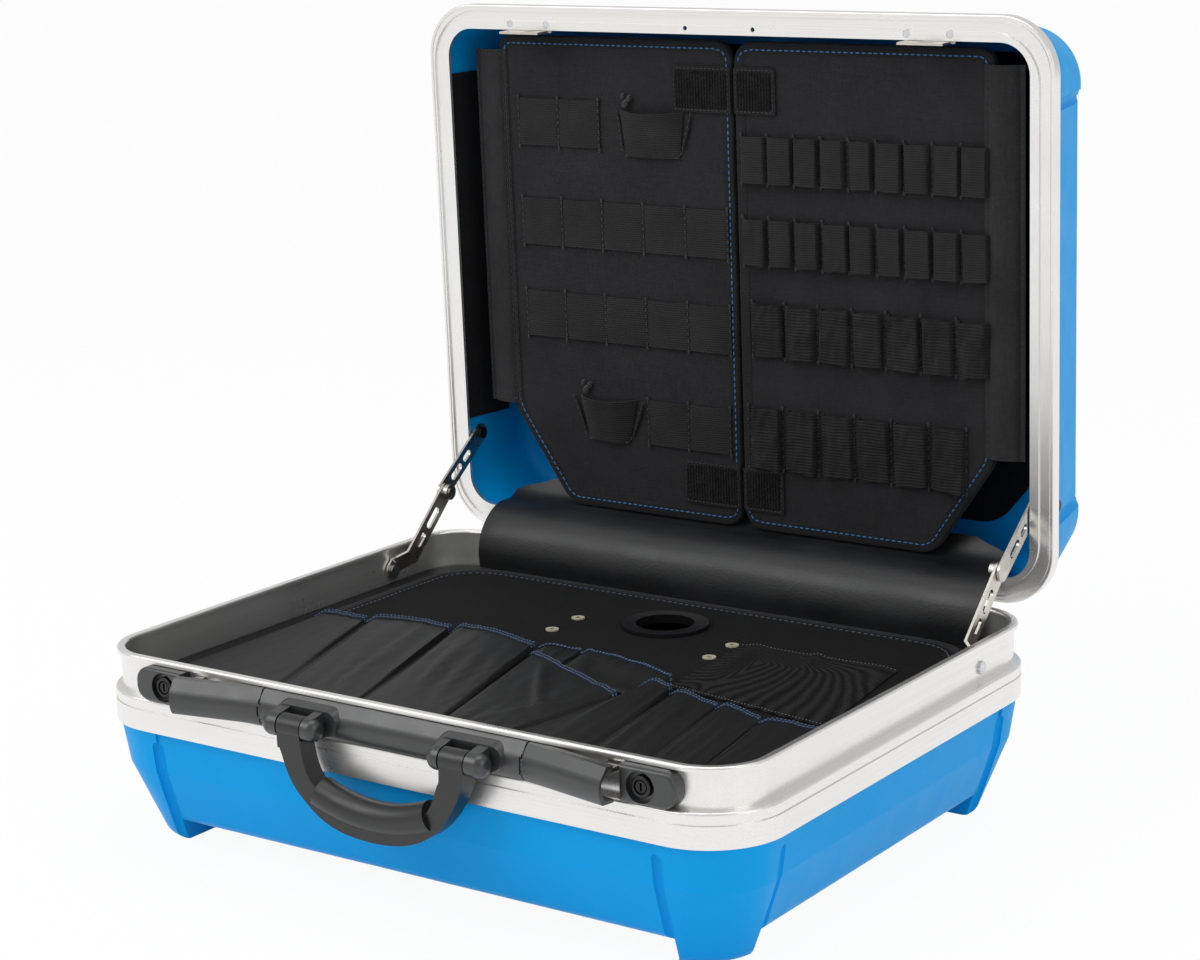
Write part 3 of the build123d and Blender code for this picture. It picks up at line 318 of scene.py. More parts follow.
def coated_cloth(name, colour, roughness):
    """Vinyl-coated cloth with a fine pebbled face."""
    material, tree, shader = new_material(name, colour, roughness, Coat_Weight=0.12, Coat_Roughness=0.25)
    where = object_coords(tree)
    pebbles = add_node(tree, "ShaderNodeTexVoronoi", (("Vector", where), ("Scale", 700.0)), feature="SMOOTH_F1")
    cloud = grain(tree, where, 16.0, 4.0)
    tree.links.new(spread(tree, cloud, roughness - 0.06, roughness + 0.1), shader.inputs["Roughness"])
    tree.links.new(
        mixed_colour(tree, spread(tree, cloud, 0.0, 1.0), colour, tuple(c * 1.7 for c in colour)),
        shader.inputs["Base Color"],
    )
    wave = bump(tree, shader, grain(tree, where, 30.0, 2.0), 0.0012, 0.35)
    bump(tree, shader, pebbles.outputs["Distance"], 0.00018, 0.55, wave)
    return material


FINISH = {}


def mix_finishes():
    """Every finish on the case."""
    settings = bpy.context.scene.case_finish
    blue = tuple(settings.shell_blue)
    FINISH["shell"] = moulded_plastic(
        "moulded_blue_shell", blue, tuple(c * 0.96 for c in blue), settings.shell_roughness,
        760.0, 0.00016, Specular_IOR_Level=0.12,
    )
    FINISH["frame_base"] = drawn_aluminium("drawn_aluminium_base", False)
    FINISH["frame_lid"] = drawn_aluminium("drawn_aluminium_lid", True)
    FINISH["hardware"] = moulded_plastic(
        "satin_black_hardware", (0.020, 0.021, 0.023), (0.014, 0.015, 0.016), 0.31, 1300.0, 0.00005,
        Specular_IOR_Level=0.9,
    )
    FINISH["handle"] = moulded_plastic(
        "grained_black_handle", (0.009, 0.0095, 0.0105), (0.006, 0.0065, 0.007), 0.36, 1000.0, 0.00008,
        Specular_IOR_Level=0.65,
    )
    FINISH["liner"] = moulded_plastic(
        "moulded_black_liner", (0.007, 0.007, 0.008), (0.004, 0.004, 0.005), 0.55, 600.0, 0.0001,
        Specular_IOR_Level=0.3,
    )
    FINISH["steel"] = plated_steel("nickelled_steel", (0.66, 0.63, 0.58), 0.26)
    FINISH["bright"] = plated_steel("zinc_plated_screws", (0.72, 0.74, 0.76), 0.24)
    FINISH["dark_steel"] = plated_steel("blackened_steel", (0.05, 0.05, 0.052), 0.34)
    FINISH["eyelet"] = plated_steel("plated_eyelets", (0.80, 0.75, 0.58), 0.3, 0.00005, 0.4)
    FINISH["ring"] = moulded_plastic(
        "glossy_black_ring", (0.010, 0.010, 0.011), (0.006, 0.006, 0.007), 0.16, 500.0, 0.00002,
    )
    FINISH["door"] = woven_cloth("woven_door_cloth", (0.013, 0.013, 0.0145), (0.034, 0.034, 0.037))
    FINISH["spine"] = woven_cloth("woven_spine_cloth", (0.015, 0.015, 0.016), (0.046, 0.046, 0.048))
    FINISH["pallet"] = woven_cloth(
        "woven_pallet_cloth", (0.005, 0.005, 0.005), (0.012, 0.012, 0.012), axes="xy", sheen=0.03, shine=0.1,
    )
    FINISH["pocket"] = woven_cloth(
        "thin_pocket_cloth", (0.004, 0.004, 0.004), (0.010, 0.010, 0.010), 0.6, "xy", 0.00008, 0.02,
        rough=0.5, shine=0.34,
    )
    FINISH["lining"] = woven_cloth(
        "woven_lining_cloth", (0.008, 0.008, 0.009), (0.018, 0.018, 0.019), axes="yz", sheen=0.08,
    )
    FINISH["binding"] = ribbed_tape("edge_binding", (0.009, 0.009, 0.010), (0.022, 0.022, 0.024), 1.1)
    FINISH["pallet_edge"] = ribbed_tape(
        "pallet_edge_binding", (0.007, 0.007, 0.008), (0.018, 0.018, 0.020), 1.3, "X",
    )
    FINISH["webbing"] = ribbed_tape("loop_webbing", (0.010, 0.010, 0.010), (0.029, 0.029, 0.029), 1.6)
    FINISH["elastic"] = ribbed_tape("ribbed_elastic", (0.006, 0.006, 0.006), (0.027, 0.027, 0.027), 2.1, depth=0.0005)
    FINISH["blue_tape"] = ribbed_tape(
        "pocket_binding", (0.010, 0.013, 0.022), (0.022, 0.030, 0.048), 0.9, "X",
    )
    FINISH["net"] = net_elastic("gathered_net")
    FINISH["velcro"] = hook_and_loop("hook_and_loop_tape")
    FINISH["blue_thread"] = sewing_thread("blue_thread", (0.013, 0.105, 0.28), (0.026, 0.18, 0.42))
    FINISH["pocket_thread"] = sewing_thread("pocket_blue_thread", (0.028, 0.070, 0.155), (0.045, 0.105, 0.23))
    FINISH["grey_blue_thread"] = sewing_thread("grey_blue_thread", (0.030, 0.042, 0.062), (0.05, 0.068, 0.10))
    FINISH["grey_thread"] = sewing_thread("grey_thread", (0.05, 0.05, 0.055), (0.11, 0.11, 0.12))
    FINISH["dark_thread"] = sewing_thread("black_thread", (0.003, 0.003, 0.004), (0.008, 0.008, 0.009))
    FINISH["cover"] = coated_cloth("coated_hinge_cover", (0.008, 0.0085, 0.0095), 0.44)


# ------------------------------------------------------------------ making pieces
def finish_piece(name, bm, place, materials, body, replaces=(), sharp=38.0):
    """Puts a bmesh drawn in millimetres in its place, and rides it on its body, if it has one."""
    bmesh.ops.transform(bm, matrix=place, verts=bm.verts)
    bmesh.ops.recalc_face_normals(bm, faces=bm.faces)
    mesh = bpy.data.meshes.new(name)
    bm.to_mesh(mesh)
    bm.free()
    for face in mesh.polygons:
        face.use_smooth = True
    mesh.set_sharp_from_angle(angle=math.radians(sharp))
    for finish in materials:
        mesh.materials.append(FINISH[finish])
    piece = bpy.data.objects.new(name, mesh)
    bpy.context.scene.collection.objects.link(piece)
    if body:
        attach(piece, body)
    if replaces:
        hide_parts(*replaces)
    return piece


def outline_face(bm, corners, radii, height):
    """A flat face from a few corners, each rounded by its own radius."""
    verts = [bm.verts.new((x, y, height)) for x, y in corners]
    face = bm.faces.new(verts)
    for vert, radius in zip(verts, radii):
        if radius > 0.0:
            bmesh.ops.bevel(
                bm, geom=[vert], offset=radius, offset_type="OFFSET", affect="VERTICES", segments=6,
                profile=0.5, material=-1,
            )
    bm.faces.ensure_lookup_table()
    return bm.faces[0]


def rounded_corners(corners, radii, inset=0.0, height=0.0):
    """The corners of a rounded outline, moved in by an inset, in order."""
    bm = bmesh.new()
    face = outline_face(bm, corners, radii, height)
    if inset > 0.0:
        bmesh.ops.inset_individual(bm, faces=[face], thickness=inset, use_even_offset=True)
    points = [vert.co.copy() for vert in face.verts]
    bm.free()
    return points


def cut_to_outline(bm, points):
    """Trims a flat sheet to a convex outline that runs anticlockwise."""
    count = len(points)
    for n in range(count):
        start, end = points[n], points[(n + 1) % count]
        run = end - start
        if run.length < 0.01:
            continue
        bmesh.ops.bisect_plane(
            bm, geom=bm.verts[:] + bm.edges[:] + bm.faces[:], dist=0.001, plane_co=start,
            plane_no=Vector((run.y, -run.x, 0.0)), clear_outer=True,
        )


def sheet_over(outline, cell, height, hole=None):
    """A fine sheet trimmed to a convex outline; height gives each point's height.

    A hole is a middle and a radius; its edge is left ragged, to be covered by a ring.
    """
    xs, ys = [p.x for p in outline], [p.y for p in outline]
    wide, long = max(xs) - min(xs) + 2.0, max(ys) - min(ys) + 2.0
    middle = Vector(((max(xs) + min(xs)) / 2.0, (max(ys) + min(ys)) / 2.0, 0.0))
    bm = bmesh.new()
    bmesh.ops.create_grid(
        bm, x_segments=math.ceil(wide / cell), y_segments=math.ceil(long / cell), size=0.5,
        matrix=Matrix.Translation(middle) @ Matrix.Diagonal((wide, long, 1.0, 1.0)),
    )
    cut_to_outline(bm, outline)
    if hole:
        centre, radius = Vector(hole[0]).to_3d(), hole[1]
        inside = [f for f in bm.faces if (f.calc_center_median() - centre).length < radius]
        bmesh.ops.delete(bm, geom=inside, context="FACES")
    for vert in bm.verts:
        vert.co.z = height(vert.co.x, vert.co.y)
    return bm


def join(bm, other, material=0):
    """Moves the faces of another bmesh into this one, in one material."""
    for face in other.faces:
        face.material_index = material
    scrap = bpy.data.meshes.new("scrap")
    other.to_mesh(scrap)
    other.free()
    bm.from_mesh(scrap)
    bpy.data.meshes.remove(scrap)


def bound_board(corners, radii, bottom, rise, steps):
    """A board's back, edge and binding in material 1, open where its cloth face goes.

    The steps are the inset and rise of each fold of the binding, from the edge inwards.
    """
    bm = bmesh.new()
    face = outline_face(bm, corners, radii, bottom)
    made = bmesh.ops.extrude_face_region(bm, geom=[face])
    moved = [g for g in made["geom"] if isinstance(g, bmesh.types.BMVert)]
    bmesh.ops.translate(bm, verts=moved, vec=(0.0, 0.0, rise))
    top = [g for g in made["geom"] if isinstance(g, bmesh.types.BMFace)]
    for thickness, depth in steps:
        bmesh.ops.inset_individual(bm, faces=top, thickness=thickness, depth=depth, use_even_offset=True)
    for part in bm.faces:
        part.material_index = 1
    bmesh.ops.delete(bm, geom=top, context="FACES_ONLY")
    return bm


def draped_grid(bm, across, along, place, material=0):
    """Adds a grid whose points place(u, v) puts, u and v from 0 to 1."""
    made = bmesh.ops.create_grid(bm, x_segments=across, y_segments=along, size=0.5)
    for vert in made["verts"]:
        vert.co = place(vert.co.x + 0.5, vert.co.y + 0.5)
    for face in {face for vert in made["verts"] for face in vert.link_faces}:
        face.material_index = material


def thicken(bm, thickness):
    """Gives a sheet its thickness, moving each point straight back so that tight folds stay small."""
    bmesh.ops.recalc_face_normals(bm, faces=bm.faces)
    bm.normal_update()
    out = bm.verts.layers.float_vector.new("out")
    for vert in bm.verts:
        vert[out] = vert.normal
    made = bmesh.ops.extrude_face_region(bm, geom=bm.faces[:], use_keep_orig=True)
    for vert in made["geom"]:
        if isinstance(vert, bmesh.types.BMVert):
            vert.co -= vert[out] * thickness
    bm.verts.layers.float_vector.remove(out)


def smooth_step(t):
    t = min(1.0, max(0.0, t))
    return t * t * (3.0 - 2.0 * t)


def between(points, t):
    """A point at a share of the way along a smooth line through a few points."""
    span = (len(points) - 1) * min(0.99999, max(0.0, t))
    n = int(span)
    s = span - n
    a, b = points[max(n - 1, 0)], points[n]
    c, d = points[n + 1], points[min(n + 2, len(points) - 1)]
    return tuple(
        0.5 * (2.0 * q + (r - p) * s + (2.0 * p - 5.0 * q + 4.0 * r - w) * s * s
               + (3.0 * q - p - 3.0 * r + w) * s * s * s)
        for p, q, r, w in zip(a, b, c, d)
    )


def along_path(points, closed, pitch, start=0.0):
    """Points and directions every pitch along a line of corners."""
    corners = list(points) + ([points[0]] if closed else [])
    lengths = [(corners[n + 1] - corners[n]).length for n in range(len(corners) - 1)]
    total = sum(lengths)
    count = int((total - start) / pitch)
    step, travelled, n, done = (total - start) / max(count, 1), 0.0, 0, []
    for k in range(count):
        want = start + (k + 0.5) * step
        while n < len(lengths) - 1 and travelled + lengths[n] < want:
            travelled += lengths[n]
            n += 1
        t = (want - travelled) / max(lengths[n], 1e-6)
        done.append((corners[n].lerp(corners[n + 1], t), (corners[n + 1] - corners[n]).normalized()))
    return done


def add_stitch(bm, where, way, length, width, normal=Vector((0.0, 0.0, 1.0)), material=0):
    """One stitch: a short swell of thread lying along the seam."""
    side = normal.cross(way).normalized()
    turn = Matrix((way, side, way.cross(side))).transposed().to_4x4()
    place = Matrix.Translation(where) @ turn @ Matrix.Diagonal((length / 2, width / 2, width / 2.2, 1.0))
    made = bmesh.ops.create_icosphere(bm, subdivisions=1, radius=1.0, matrix=place)
    for face in {face for vert in made["verts"] for face in vert.link_faces}:
        face.material_index = material


def stitch_seam(bm, points, closed, pitch, length, width, lift=0.3, material=0, skip=None):
    for where, way in along_path(points, closed, pitch):
        if skip and skip(where):
            continue
        add_stitch(bm, where + Vector((0.0, 0.0, lift)), way, length, width, material=material)


def ripple(x, y, seed, size=0.012):
    """Slack in stretched cloth, about one millimetre from crest to trough."""
    broad = noise.noise(Vector((x * size, y * size, seed)))
    return broad * 0.6 + noise.noise(Vector((x * size * 3.6, y * size * 2.5, seed + 4.0))) * 0.2


# ------------------------------------------------------------------ tool doors
def door_corners(side):
    """Corners of a door's outline, anticlockwise, with their radii."""
    inner, outer = 1.0, 192.0
    corners = [(inner, -167.0), (146.0, -167.0), (outer, -99.0), (outer, 166.0), (inner, 166.0)]
    radii = [14.0, 9.0, 9.0, 11.0, 14.0]
    if side < 0:
        corners = [(-x, y) for x, y in reversed(corners)]
        radii = list(reversed(radii))
    return corners, radii


def make_door(side):
    """A door's board under its cloth, with bound and stitched edges."""
    name = "right" if side > 0 else "left"
    corners, radii = door_corners(side)
    bm = bound_board(corners, radii, -21.0, 3.9, ((0.55, 0.75), (0.9, 0.35), (6.4, 0.1), (0.5, -0.55)))
    join(bm, sheet_over(
        rounded_corners(corners, radii, 7.8), 5.5,
        lambda x, y: DOOR_FACE - 0.25 + 0.6 * ripple(x, y, side * 3.0),
    ))
    seam = rounded_corners(corners, radii, 5.4, DOOR_FACE + 0.15)
    for point in seam:
        if abs(point.x) < 12.0:
            point.x -= side * 1.8

    def unseen(where):
        behind_spine = where.x * side > 183.0 and -92.0 < where.y < 152.0
        return behind_spine or (side > 0 and where.x < 12.0 and abs(where.y) < 150.0)

    stitch_seam(bm, seam, True, 4.4, 3.7, 1.05, 0.14, 2, unseen)
    door = finish_piece(
        f"door_{name}_cloth", bm, LID_PLACE, ("door", "binding", "blue_thread"), f"door_{name}",
        (f"door_{name}",),
    )


def make_spine(side):
    """The cloth hinge of a door: a rounded strip sewn to the door and to the lid."""
    name = "right" if side > 0 else "left"
    bm = bmesh.new()
    low, high = 185.0, 212.4

    def place(u, v):
        bulge = 3.2 * math.sin(math.pi * min(1.0, max(0.0, (u - 0.14) / 0.72))) ** 0.6
        wobble = 0.3 * noise.noise(Vector((u * 2.0, v * 9.0, side * 2.0)))
        base = -15.4 - 1.9 * smooth_step((u - 0.2) / 0.5)
        return Vector((side * (low + (high - low) * u), -97.0 + 253.0 * v, base + bulge + wobble))

    draped_grid(bm, 22, 64, place)
    thicken(bm, 0.9)
    for u, reach in ((0.05, 3.6), (0.12, 3.6), (0.93, 3.2)):
        seam = [place(u, 0.006) + Vector((0, 0, 0.6)), place(u, 0.994) + Vector((0, 0, 0.6))]
        stitch_seam(bm, seam, False, 4.6, reach, 0.8, 0.1, 1)
    for v in (0.012, 0.988):
        seam = [place(0.1, v) + Vector((0, 0, 0.6)), place(0.5, v) + Vector((0, 0, 0.8)),
                place(0.9, v) + Vector((0, 0, 0.6))]
        stitch_seam(bm, seam, False, 3.6, 3.0, 0.8, 0.1, 1)
    strip = finish_piece(
        f"spine_{name}_cloth", bm, LID_PLACE, ("spine", "dark_thread"), None,
        (f"door_spine_{name}",),
    )
    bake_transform(strip)


# ------------------------------------------------------------------ loops on the doors
def make_row(name, door, start, count, pitch, up, height, rise, boxy, finish, seed, replaces):
    """One length of webbing sewn down between its loops."""
    rng = random.Random(seed)
    shapes = [
        (rng.uniform(0.85, 1.12), rng.uniform(-0.05, 0.05), rng.uniform(-0.5, 0.5), rng.uniform(0.0, 1.0))
        for _ in range(count)
    ]
    bm = bmesh.new()

    def place(u, v):
        along = u * count
        loop = min(count - 1, int(along))
        t = along - loop
        tall, lean, skew, fold = shapes[loop]
        x, y = start + pitch * along, up + height * v
        if boxy > 0.0:
            left = smooth_step((t - 0.09 - 0.03 * fold) / 0.055)
            right = 1.0 - smooth_step((t - 0.88 - lean) / 0.055)
            pinch = boxy * smooth_step((skew - 0.1) * 3.0) * (1.0 - smooth_step(v * 2.2))
            swell = min(left, right) * (1.0 - 0.5 * pinch) * tall
            swell *= 1.0 - 0.12 * abs(t - 0.4) * 2.0
            crease = noise.noise(Vector((t * 2.6 + loop * 5.0, v * 1.9, seed)))
            crease += 0.5 * noise.noise(Vector((t * 6.0 + loop * 3.0, v * 5.0, seed + 2.0)))
            z = rise * swell * (1.0 + 0.5 * boxy * crease)
            x += boxy * pitch * (0.16 * skew * (0.5 - v) + 0.06 * crease) * swell
            y += boxy * (11.0 * skew * (t - 0.5) * (1.0 - v) + 1.6 * crease) * swell
        else:
            z = rise * max(0.0, math.sin(math.pi * t)) ** 0.5 * tall
            z += 0.4 * noise.noise(Vector((along * 1.7, v * 2.0, seed)))
            y += 0.5 * math.sin(math.pi * t) * (0.5 - v)
        return Vector((x, y, DOOR_FACE + 0.75 + max(0.0, z)))

    draped_grid(bm, count * 34, 14, place)
    thicken(bm, 0.8)
    edge = 1.0 if boxy > 0.0 else 1.3
    for n in range(count + 1):
        x = start + pitch * n + (0.4 if n == 0 else -0.2)
        for k in range(7):
            y = up + height * (k + 0.5) / 7.0
            add_stitch(
                bm, Vector((x + rng.uniform(-0.2, 0.2), y, DOOR_FACE + 1.35)), Vector((0.0, 1.0, 0.0)),
                3.6, edge, material=1,
            )
        for y in (up - 0.8, up + height + 0.8):
            add_stitch(bm, Vector((x, y, DOOR_FACE + 1.4)), Vector((0.0, 1.0, 0.0)), 4.4, 2.0, material=1)
    row = finish_piece(name, bm, LID_PLACE, (finish, "dark_thread"), door, replaces)


ROWS_LEFT = (
    (1, -176.0, 2, 34.0, 90.0, 33.0), (2, -176.0, 5, 34.0, 20.0, 33.0),
    (3, -176.0, 5, 34.0, -46.0, 33.0), (4, -76.0, 2, 34.0, -116.0, 32.0),
)
ROWS_RIGHT = (
    (1, 5.5, 9, 20.4, 73.0, 31.0, 0.22, "webbing"), (2, 5.5, 9, 20.4, 18.0, 31.0, 0.3, "webbing"),
    (3, 11.0, 7, 25.6, -44.0, 36.0, 1.0, "elastic"), (4, 6.0, 6, 27.6, -122.0, 42.0, 1.0, "elastic"),
)


def make_holsters():
    """Two open cloth holsters with their wing straps and knotted tops."""
    bm = bmesh.new()
    for x, up, foot, mouth in ((-65.0, 86.0, 22.0, 26.0), (-109.0, -117.0, 17.0, 24.0)):
        def place(u, v, x=x, up=up, foot=foot, mouth=mouth):
            half = foot + (mouth - foot) * v
            s = 2.0 * u - 1.0
            out = (1.0 - abs(s) ** 2.6) * (3.4 + 5.6 * v)
            slack = 0.7 * noise.noise(Vector((s * 1.6, v * 2.2, x)))
            top = -2.0 * (1.0 - s * s) * smooth_step((v - 0.8) / 0.2)
            return Vector((x + half * s, up + 32.0 * v + top, DOOR_FACE + 0.9 + out + slack * (1.0 - s * s)))

        draped_grid(bm, 30, 16, place)
    thicken(bm, 1.1)
    for x, up, foot, mouth in ((-65.0, 86.0, 22.0, 26.0), (-109.0, -117.0, 17.0, 24.0)):
        for way, flare in ((-1.0, 1.0 if up > 0.0 else 5.0), (1.0, 7.0)):
            low = Vector((x + way * (foot + 1.5), up + 2.0, DOOR_FACE + 1.2))
            high = Vector((x + way * (mouth + flare), up + 33.0, DOOR_FACE + 1.6))
            run = (high - low).normalized()
            add_stitch(bm, (low + high) / 2, run, (high - low).length, 2.6, material=0)
            stitch_seam(bm, [low, high], False, 4.2, 3.6, 1.1, 1.0, 1)
        for dx, dy, size in ((-mouth + 6.0, 36.0, 5.0), (-mouth + 9.0, 39.5, 4.0), (-mouth + 4.0, 41.0, 3.4)):
            add_stitch(
                bm, Vector((x + dx, up + dy, DOOR_FACE + 2.2)), Vector((0.5, 0.86, 0.0)), size * 1.5, size,
                material=1,
            )
        seam = [Vector((x - foot, up + 0.6, DOOR_FACE + 1.9)), Vector((x + foot, up + 0.6, DOOR_FACE + 1.9))]
        stitch_seam(bm, seam, False, 3.6, 3.0, 0.9, 0.3, 1)
    pair = finish_piece(
        "holster_cloth", bm, LID_PLACE, ("webbing", "dark_thread"), "door_left", ("holster_pouches",),
    )


def make_patches(side):
    """Hook-and-loop patches at the top and bottom of a door's inner edge."""
    name = "right" if side > 0 else "left"
    x0, x1 = (1.4, 33.0) if side > 0 else (-47.0, -1.4)
    bm = bmesh.new()
    for up in (118.0, -154.0):
        for sheet, margin, lift in ((0, 0.0, 0.9), (1, 3.2, 1.7)):
            outline = rounded_corners(
                [(x0 + margin, up + margin), (x1 - margin, up + margin), (x1 - margin, up + 31.0 - margin),
                 (x0 + margin, up + 31.0 - margin)], [1.5] * 4,
            )
            join(bm, sheet_over(
                outline, 2.4, lambda x, y, lift=lift: DOOR_FACE + lift + 0.5 * ripple(x, y, 5.0 + side, 0.05),
            ), sheet)
    thicken(bm, 0.7)
    for up in (118.0, -154.0):
        outline = rounded_corners(
            [(x0 + 1.7, up + 1.7), (x1 - 1.7, up + 1.7), (x1 - 1.7, up + 29.3), (x0 + 1.7, up + 29.3)],
            [1.5] * 4, 0.0, DOOR_FACE + 1.7,
        )
        stitch_seam(bm, outline, True, 3.2, 2.6, 0.8, 0.1, 2)
    patches = finish_piece(
        f"hook_and_loop_{name}", bm, LID_PLACE, ("binding", "velcro", "dark_thread"), f"door_{name}",
        (f"straps_{name}",),
    )


# ------------------------------------------------------------------ lining of the lid
def make_lid_linings():
    for side, name in ((-1, "left"), (1, "right")):
        bm = bmesh.new()

        def place(u, v, side=side):
            slack = 0.22 * noise.noise(Vector((u * 2.0, v * 7.0, side)))
            return Vector((side * (230.9 - 7.95 * u + slack), -112.0 + 250.0 * v, -6.0 - 44.0 * u))

        draped_grid(bm, 10, 50, place)
        for vert in bm.verts:
            vert.co.x += side * 0.45
        thicken(bm, 0.8)
        panel = finish_piece(
            f"lid_lining_{name}", bm, LID_PLACE, ("lining",), "lid", (f"lid_panel_{name}",),
        )
    outline = rounded_corners(
        [(-168.0, -156.0), (168.0, -156.0), (196.0, -122.0), (196.0, 158.0), (-196.0, 158.0), (-196.0, -122.0)],
        [12.0] * 6,
    )
    bm = sheet_over(outline, 9.0, lambda x, y: -67.5 + 0.35 * ripple(x, y, 11.0))
    thicken(bm, 0.7)
    back = finish_piece(
        "lid_back_cloth", bm, LID_PLACE, ("lining",), "lid", ("lid_back_lining",),
    )


COVER_LINE = (
    (173.9, 99.0), (172.0, 112.0), (175.4, 125.8), (185.2, 136.6), (197.1, 141.8), (210.1, 142.1),
    (219.3, 146.2), (226.4, 156.8),
)


def make_hinge_cover():
    """The coated strip over the hinges, sewn to the base and to the lid."""
    bm = bmesh.new()

    def place(u, v):
        y, z = between(COVER_LINE, v)
        wide = 201.0 - 1.6 * math.sin(math.pi * v) - 30.0 * smooth_step((v - 0.86) / 0.14)
        x = wide * (2.0 * u - 1.0)
        swell = math.sin(math.pi * v) ** 2 * 0.9 * noise.noise(Vector((x * 0.011, v * 1.5, 3.0)))
        return Vector((x, y - swell, z + 0.4 * swell))

    draped_grid(bm, 60, 40, place)
    thicken(bm, 0.9)
    cover = finish_piece(
        "hinge_cover_sheet", bm, BASE_PLACE, ("cover",), None, ("hinge_cover",), 60.0,
    )
    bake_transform(cover)


# ------------------------------------------------------------------ pallet and its pockets
PALLET_RADII = [44.0] * 4
PALLET_CORNERS = [(-212.0, -165.0), (212.0, -165.0), (212.0, 165.0), (-212.0, 165.0)]
FINGER_HOLE = (4.6, 102.9)


def make_pallet():
    """The pallet's board under its cloth, bound round its edge."""
    bm = bound_board(
        PALLET_CORNERS, PALLET_RADII, 98.8, 2.2, ((0.5, 0.7), (0.9, 0.45), (3.4, 0.25), (2.6, -0.35), (0.5, -0.6)),
    )
    bm.faces.ensure_lookup_table()
    under = max(bm.faces, key=lambda face: face.calc_area())
    bmesh.ops.delete(bm, geom=[under], context="FACES_ONLY")
    face = rounded_corners(PALLET_CORNERS, PALLET_RADII, 7.6)
    join(bm, sheet_over(face, 5.0, lambda x, y: PALLET_TOP - 0.15 + 0.16 * ripple(x, y, 1.0), (FINGER_HOLE, 23.5)))
    back = rounded_corners(PALLET_CORNERS, PALLET_RADII, 0.01)
    join(bm, sheet_over(back, 5.0, lambda x, y: 98.8, (FINGER_HOLE, 23.5)))
    seam = rounded_corners(PALLET_CORNERS, PALLET_RADII, 11.5, PALLET_TOP + 0.05)
    stitch_seam(bm, seam, True, 4.6, 3.6, 1.0, 0.12, 2)
    board = finish_piece(
        "pallet_cloth", bm, BASE_PLACE, ("pallet", "pallet_edge", "grey_blue_thread"), "pallet",
        ("pallet_board",),
    )


def pallet_half(y):
    """Half the pallet's width at a place along it, inside its binding."""
    return 168.0 + math.sqrt(max(0.0, 40.5 ** 2 - max(0.0, -121.0 - y) ** 2))


def make_pocket(name, seams, lifts, bows, seed, replaces, folds=()):
    """Cloth pockets side by side, sewn down along their seams and bound along their mouth.

    A seam is its mouth's x and y and its foot's; a fold is a line and its height.
    """
    bm = bmesh.new()
    cells = len(seams) - 1

    def place(along, v, over=0.0):
        cell = min(cells - 1, int(along + 1e-6))
        t = along - cell
        (lx, ly, lfx, lfy), (rx, ry, rfx, rfy) = seams[cell], seams[cell + 1]
        lift, width = lifts[cell], math.hypot(rx - lx, ry - ly)
        x0, y0 = lx + (rx - lx) * t, ly + (ry - ly) * t + bows[cell] * math.sin(math.pi * t)
        x1, y1 = lfx + (rfx - lfx) * t, lfy + (rfy - lfy) * t
        x, y = x0 + (x1 - x0) * v, y0 + (y1 - y0) * v
        x = max(-pallet_half(y), min(pallet_half(y), x))
        height = 2.4 + (lift - 2.4) * (1.0 - smooth_step(v * 1.25)) ** 1.2
        height *= 1.0 - 0.4 * smooth_step((v - 0.9) / 0.1)
        climb = smooth_step(t * width / (4.0 + 0.9 * lift)) ** 0.8
        drop = 1.0 - smooth_step((t * width - (width - 2.6)) / 2.2)
        flat_top = climb * drop
        crown = 0.84 + 0.16 * math.sin(math.pi * min(1.0, t * 1.1))
        slack = noise.noise(Vector((t * 2.0 + cell * 7.0, v * 1.3, seed)))
        slack += 0.45 * noise.noise(Vector((t * 6.5 + cell * 7.0, v * 2.2 - t * 2.0, seed + 9.0)))
        slack += 0.2 * noise.noise(Vector((x * 0.16, y * 0.11, seed + 3.0)))
        z = flat_top * (height * crown + 1.5 * slack)
        for ax, ay, bx, by, tall in folds:
            run = Vector((bx - ax, by - ay))
            at = max(0.0, min(1.0, (Vector((x - ax, y - ay))).dot(run) / run.length_squared))
            off = (Vector((x - ax, y - ay)) - run * at)
            side = off.x * run.y - off.y * run.x
            near = math.exp(-(off.length / (2.2 if side > 0 else 6.0)) ** 2) * math.sin(math.pi * (0.08 + 0.84 * at))
            z += flat_top * tall * near
        lean = smooth_step((t - 0.7) / 0.3) * z * 0.42
        wave = (1.3 * noise.noise(Vector((x * 0.055, seed, 1.0))) + 0.3 * math.sin(x * 0.5)) * math.exp(-v * 14.0)
        return Vector((x + lean, y + wave, PALLET_TOP + 0.55 + max(0.0, z) + over))

    draped_grid(bm, cells * 40, 44, lambda u, v: place(u * cells, 1.0 - v))
    tape = 5.6 / 165.0
    draped_grid(bm, cells * 40, 3, lambda u, v: place(u * cells, (1.0 - v) * tape, 0.55), 1)
    thicken(bm, 0.6)
    steps = cells * 60
    for v, over in ((tape * 0.15, 1.2), (tape * 0.85, 1.15)):
        line = [place(cells * k / steps, v, over) for k in range(steps + 1)]
        stitch_seam(bm, line, False, 2.7, 2.3, 0.95, 0.0, 2)
    for (lx, ly, fx, fy) in seams[1:-1]:
        low = Vector((lx, ly, PALLET_TOP + 0.75))
        stitch_seam(bm, [low, Vector((fx, fy, PALLET_TOP + 0.75))], False, 3.2, 2.4, 0.8, 0.0, 3)
    pocket = finish_piece(
        name, bm, BASE_PLACE, ("pocket", "blue_tape", "pocket_thread", "dark_thread"), "pallet",
        replaces, 50.0,
    )


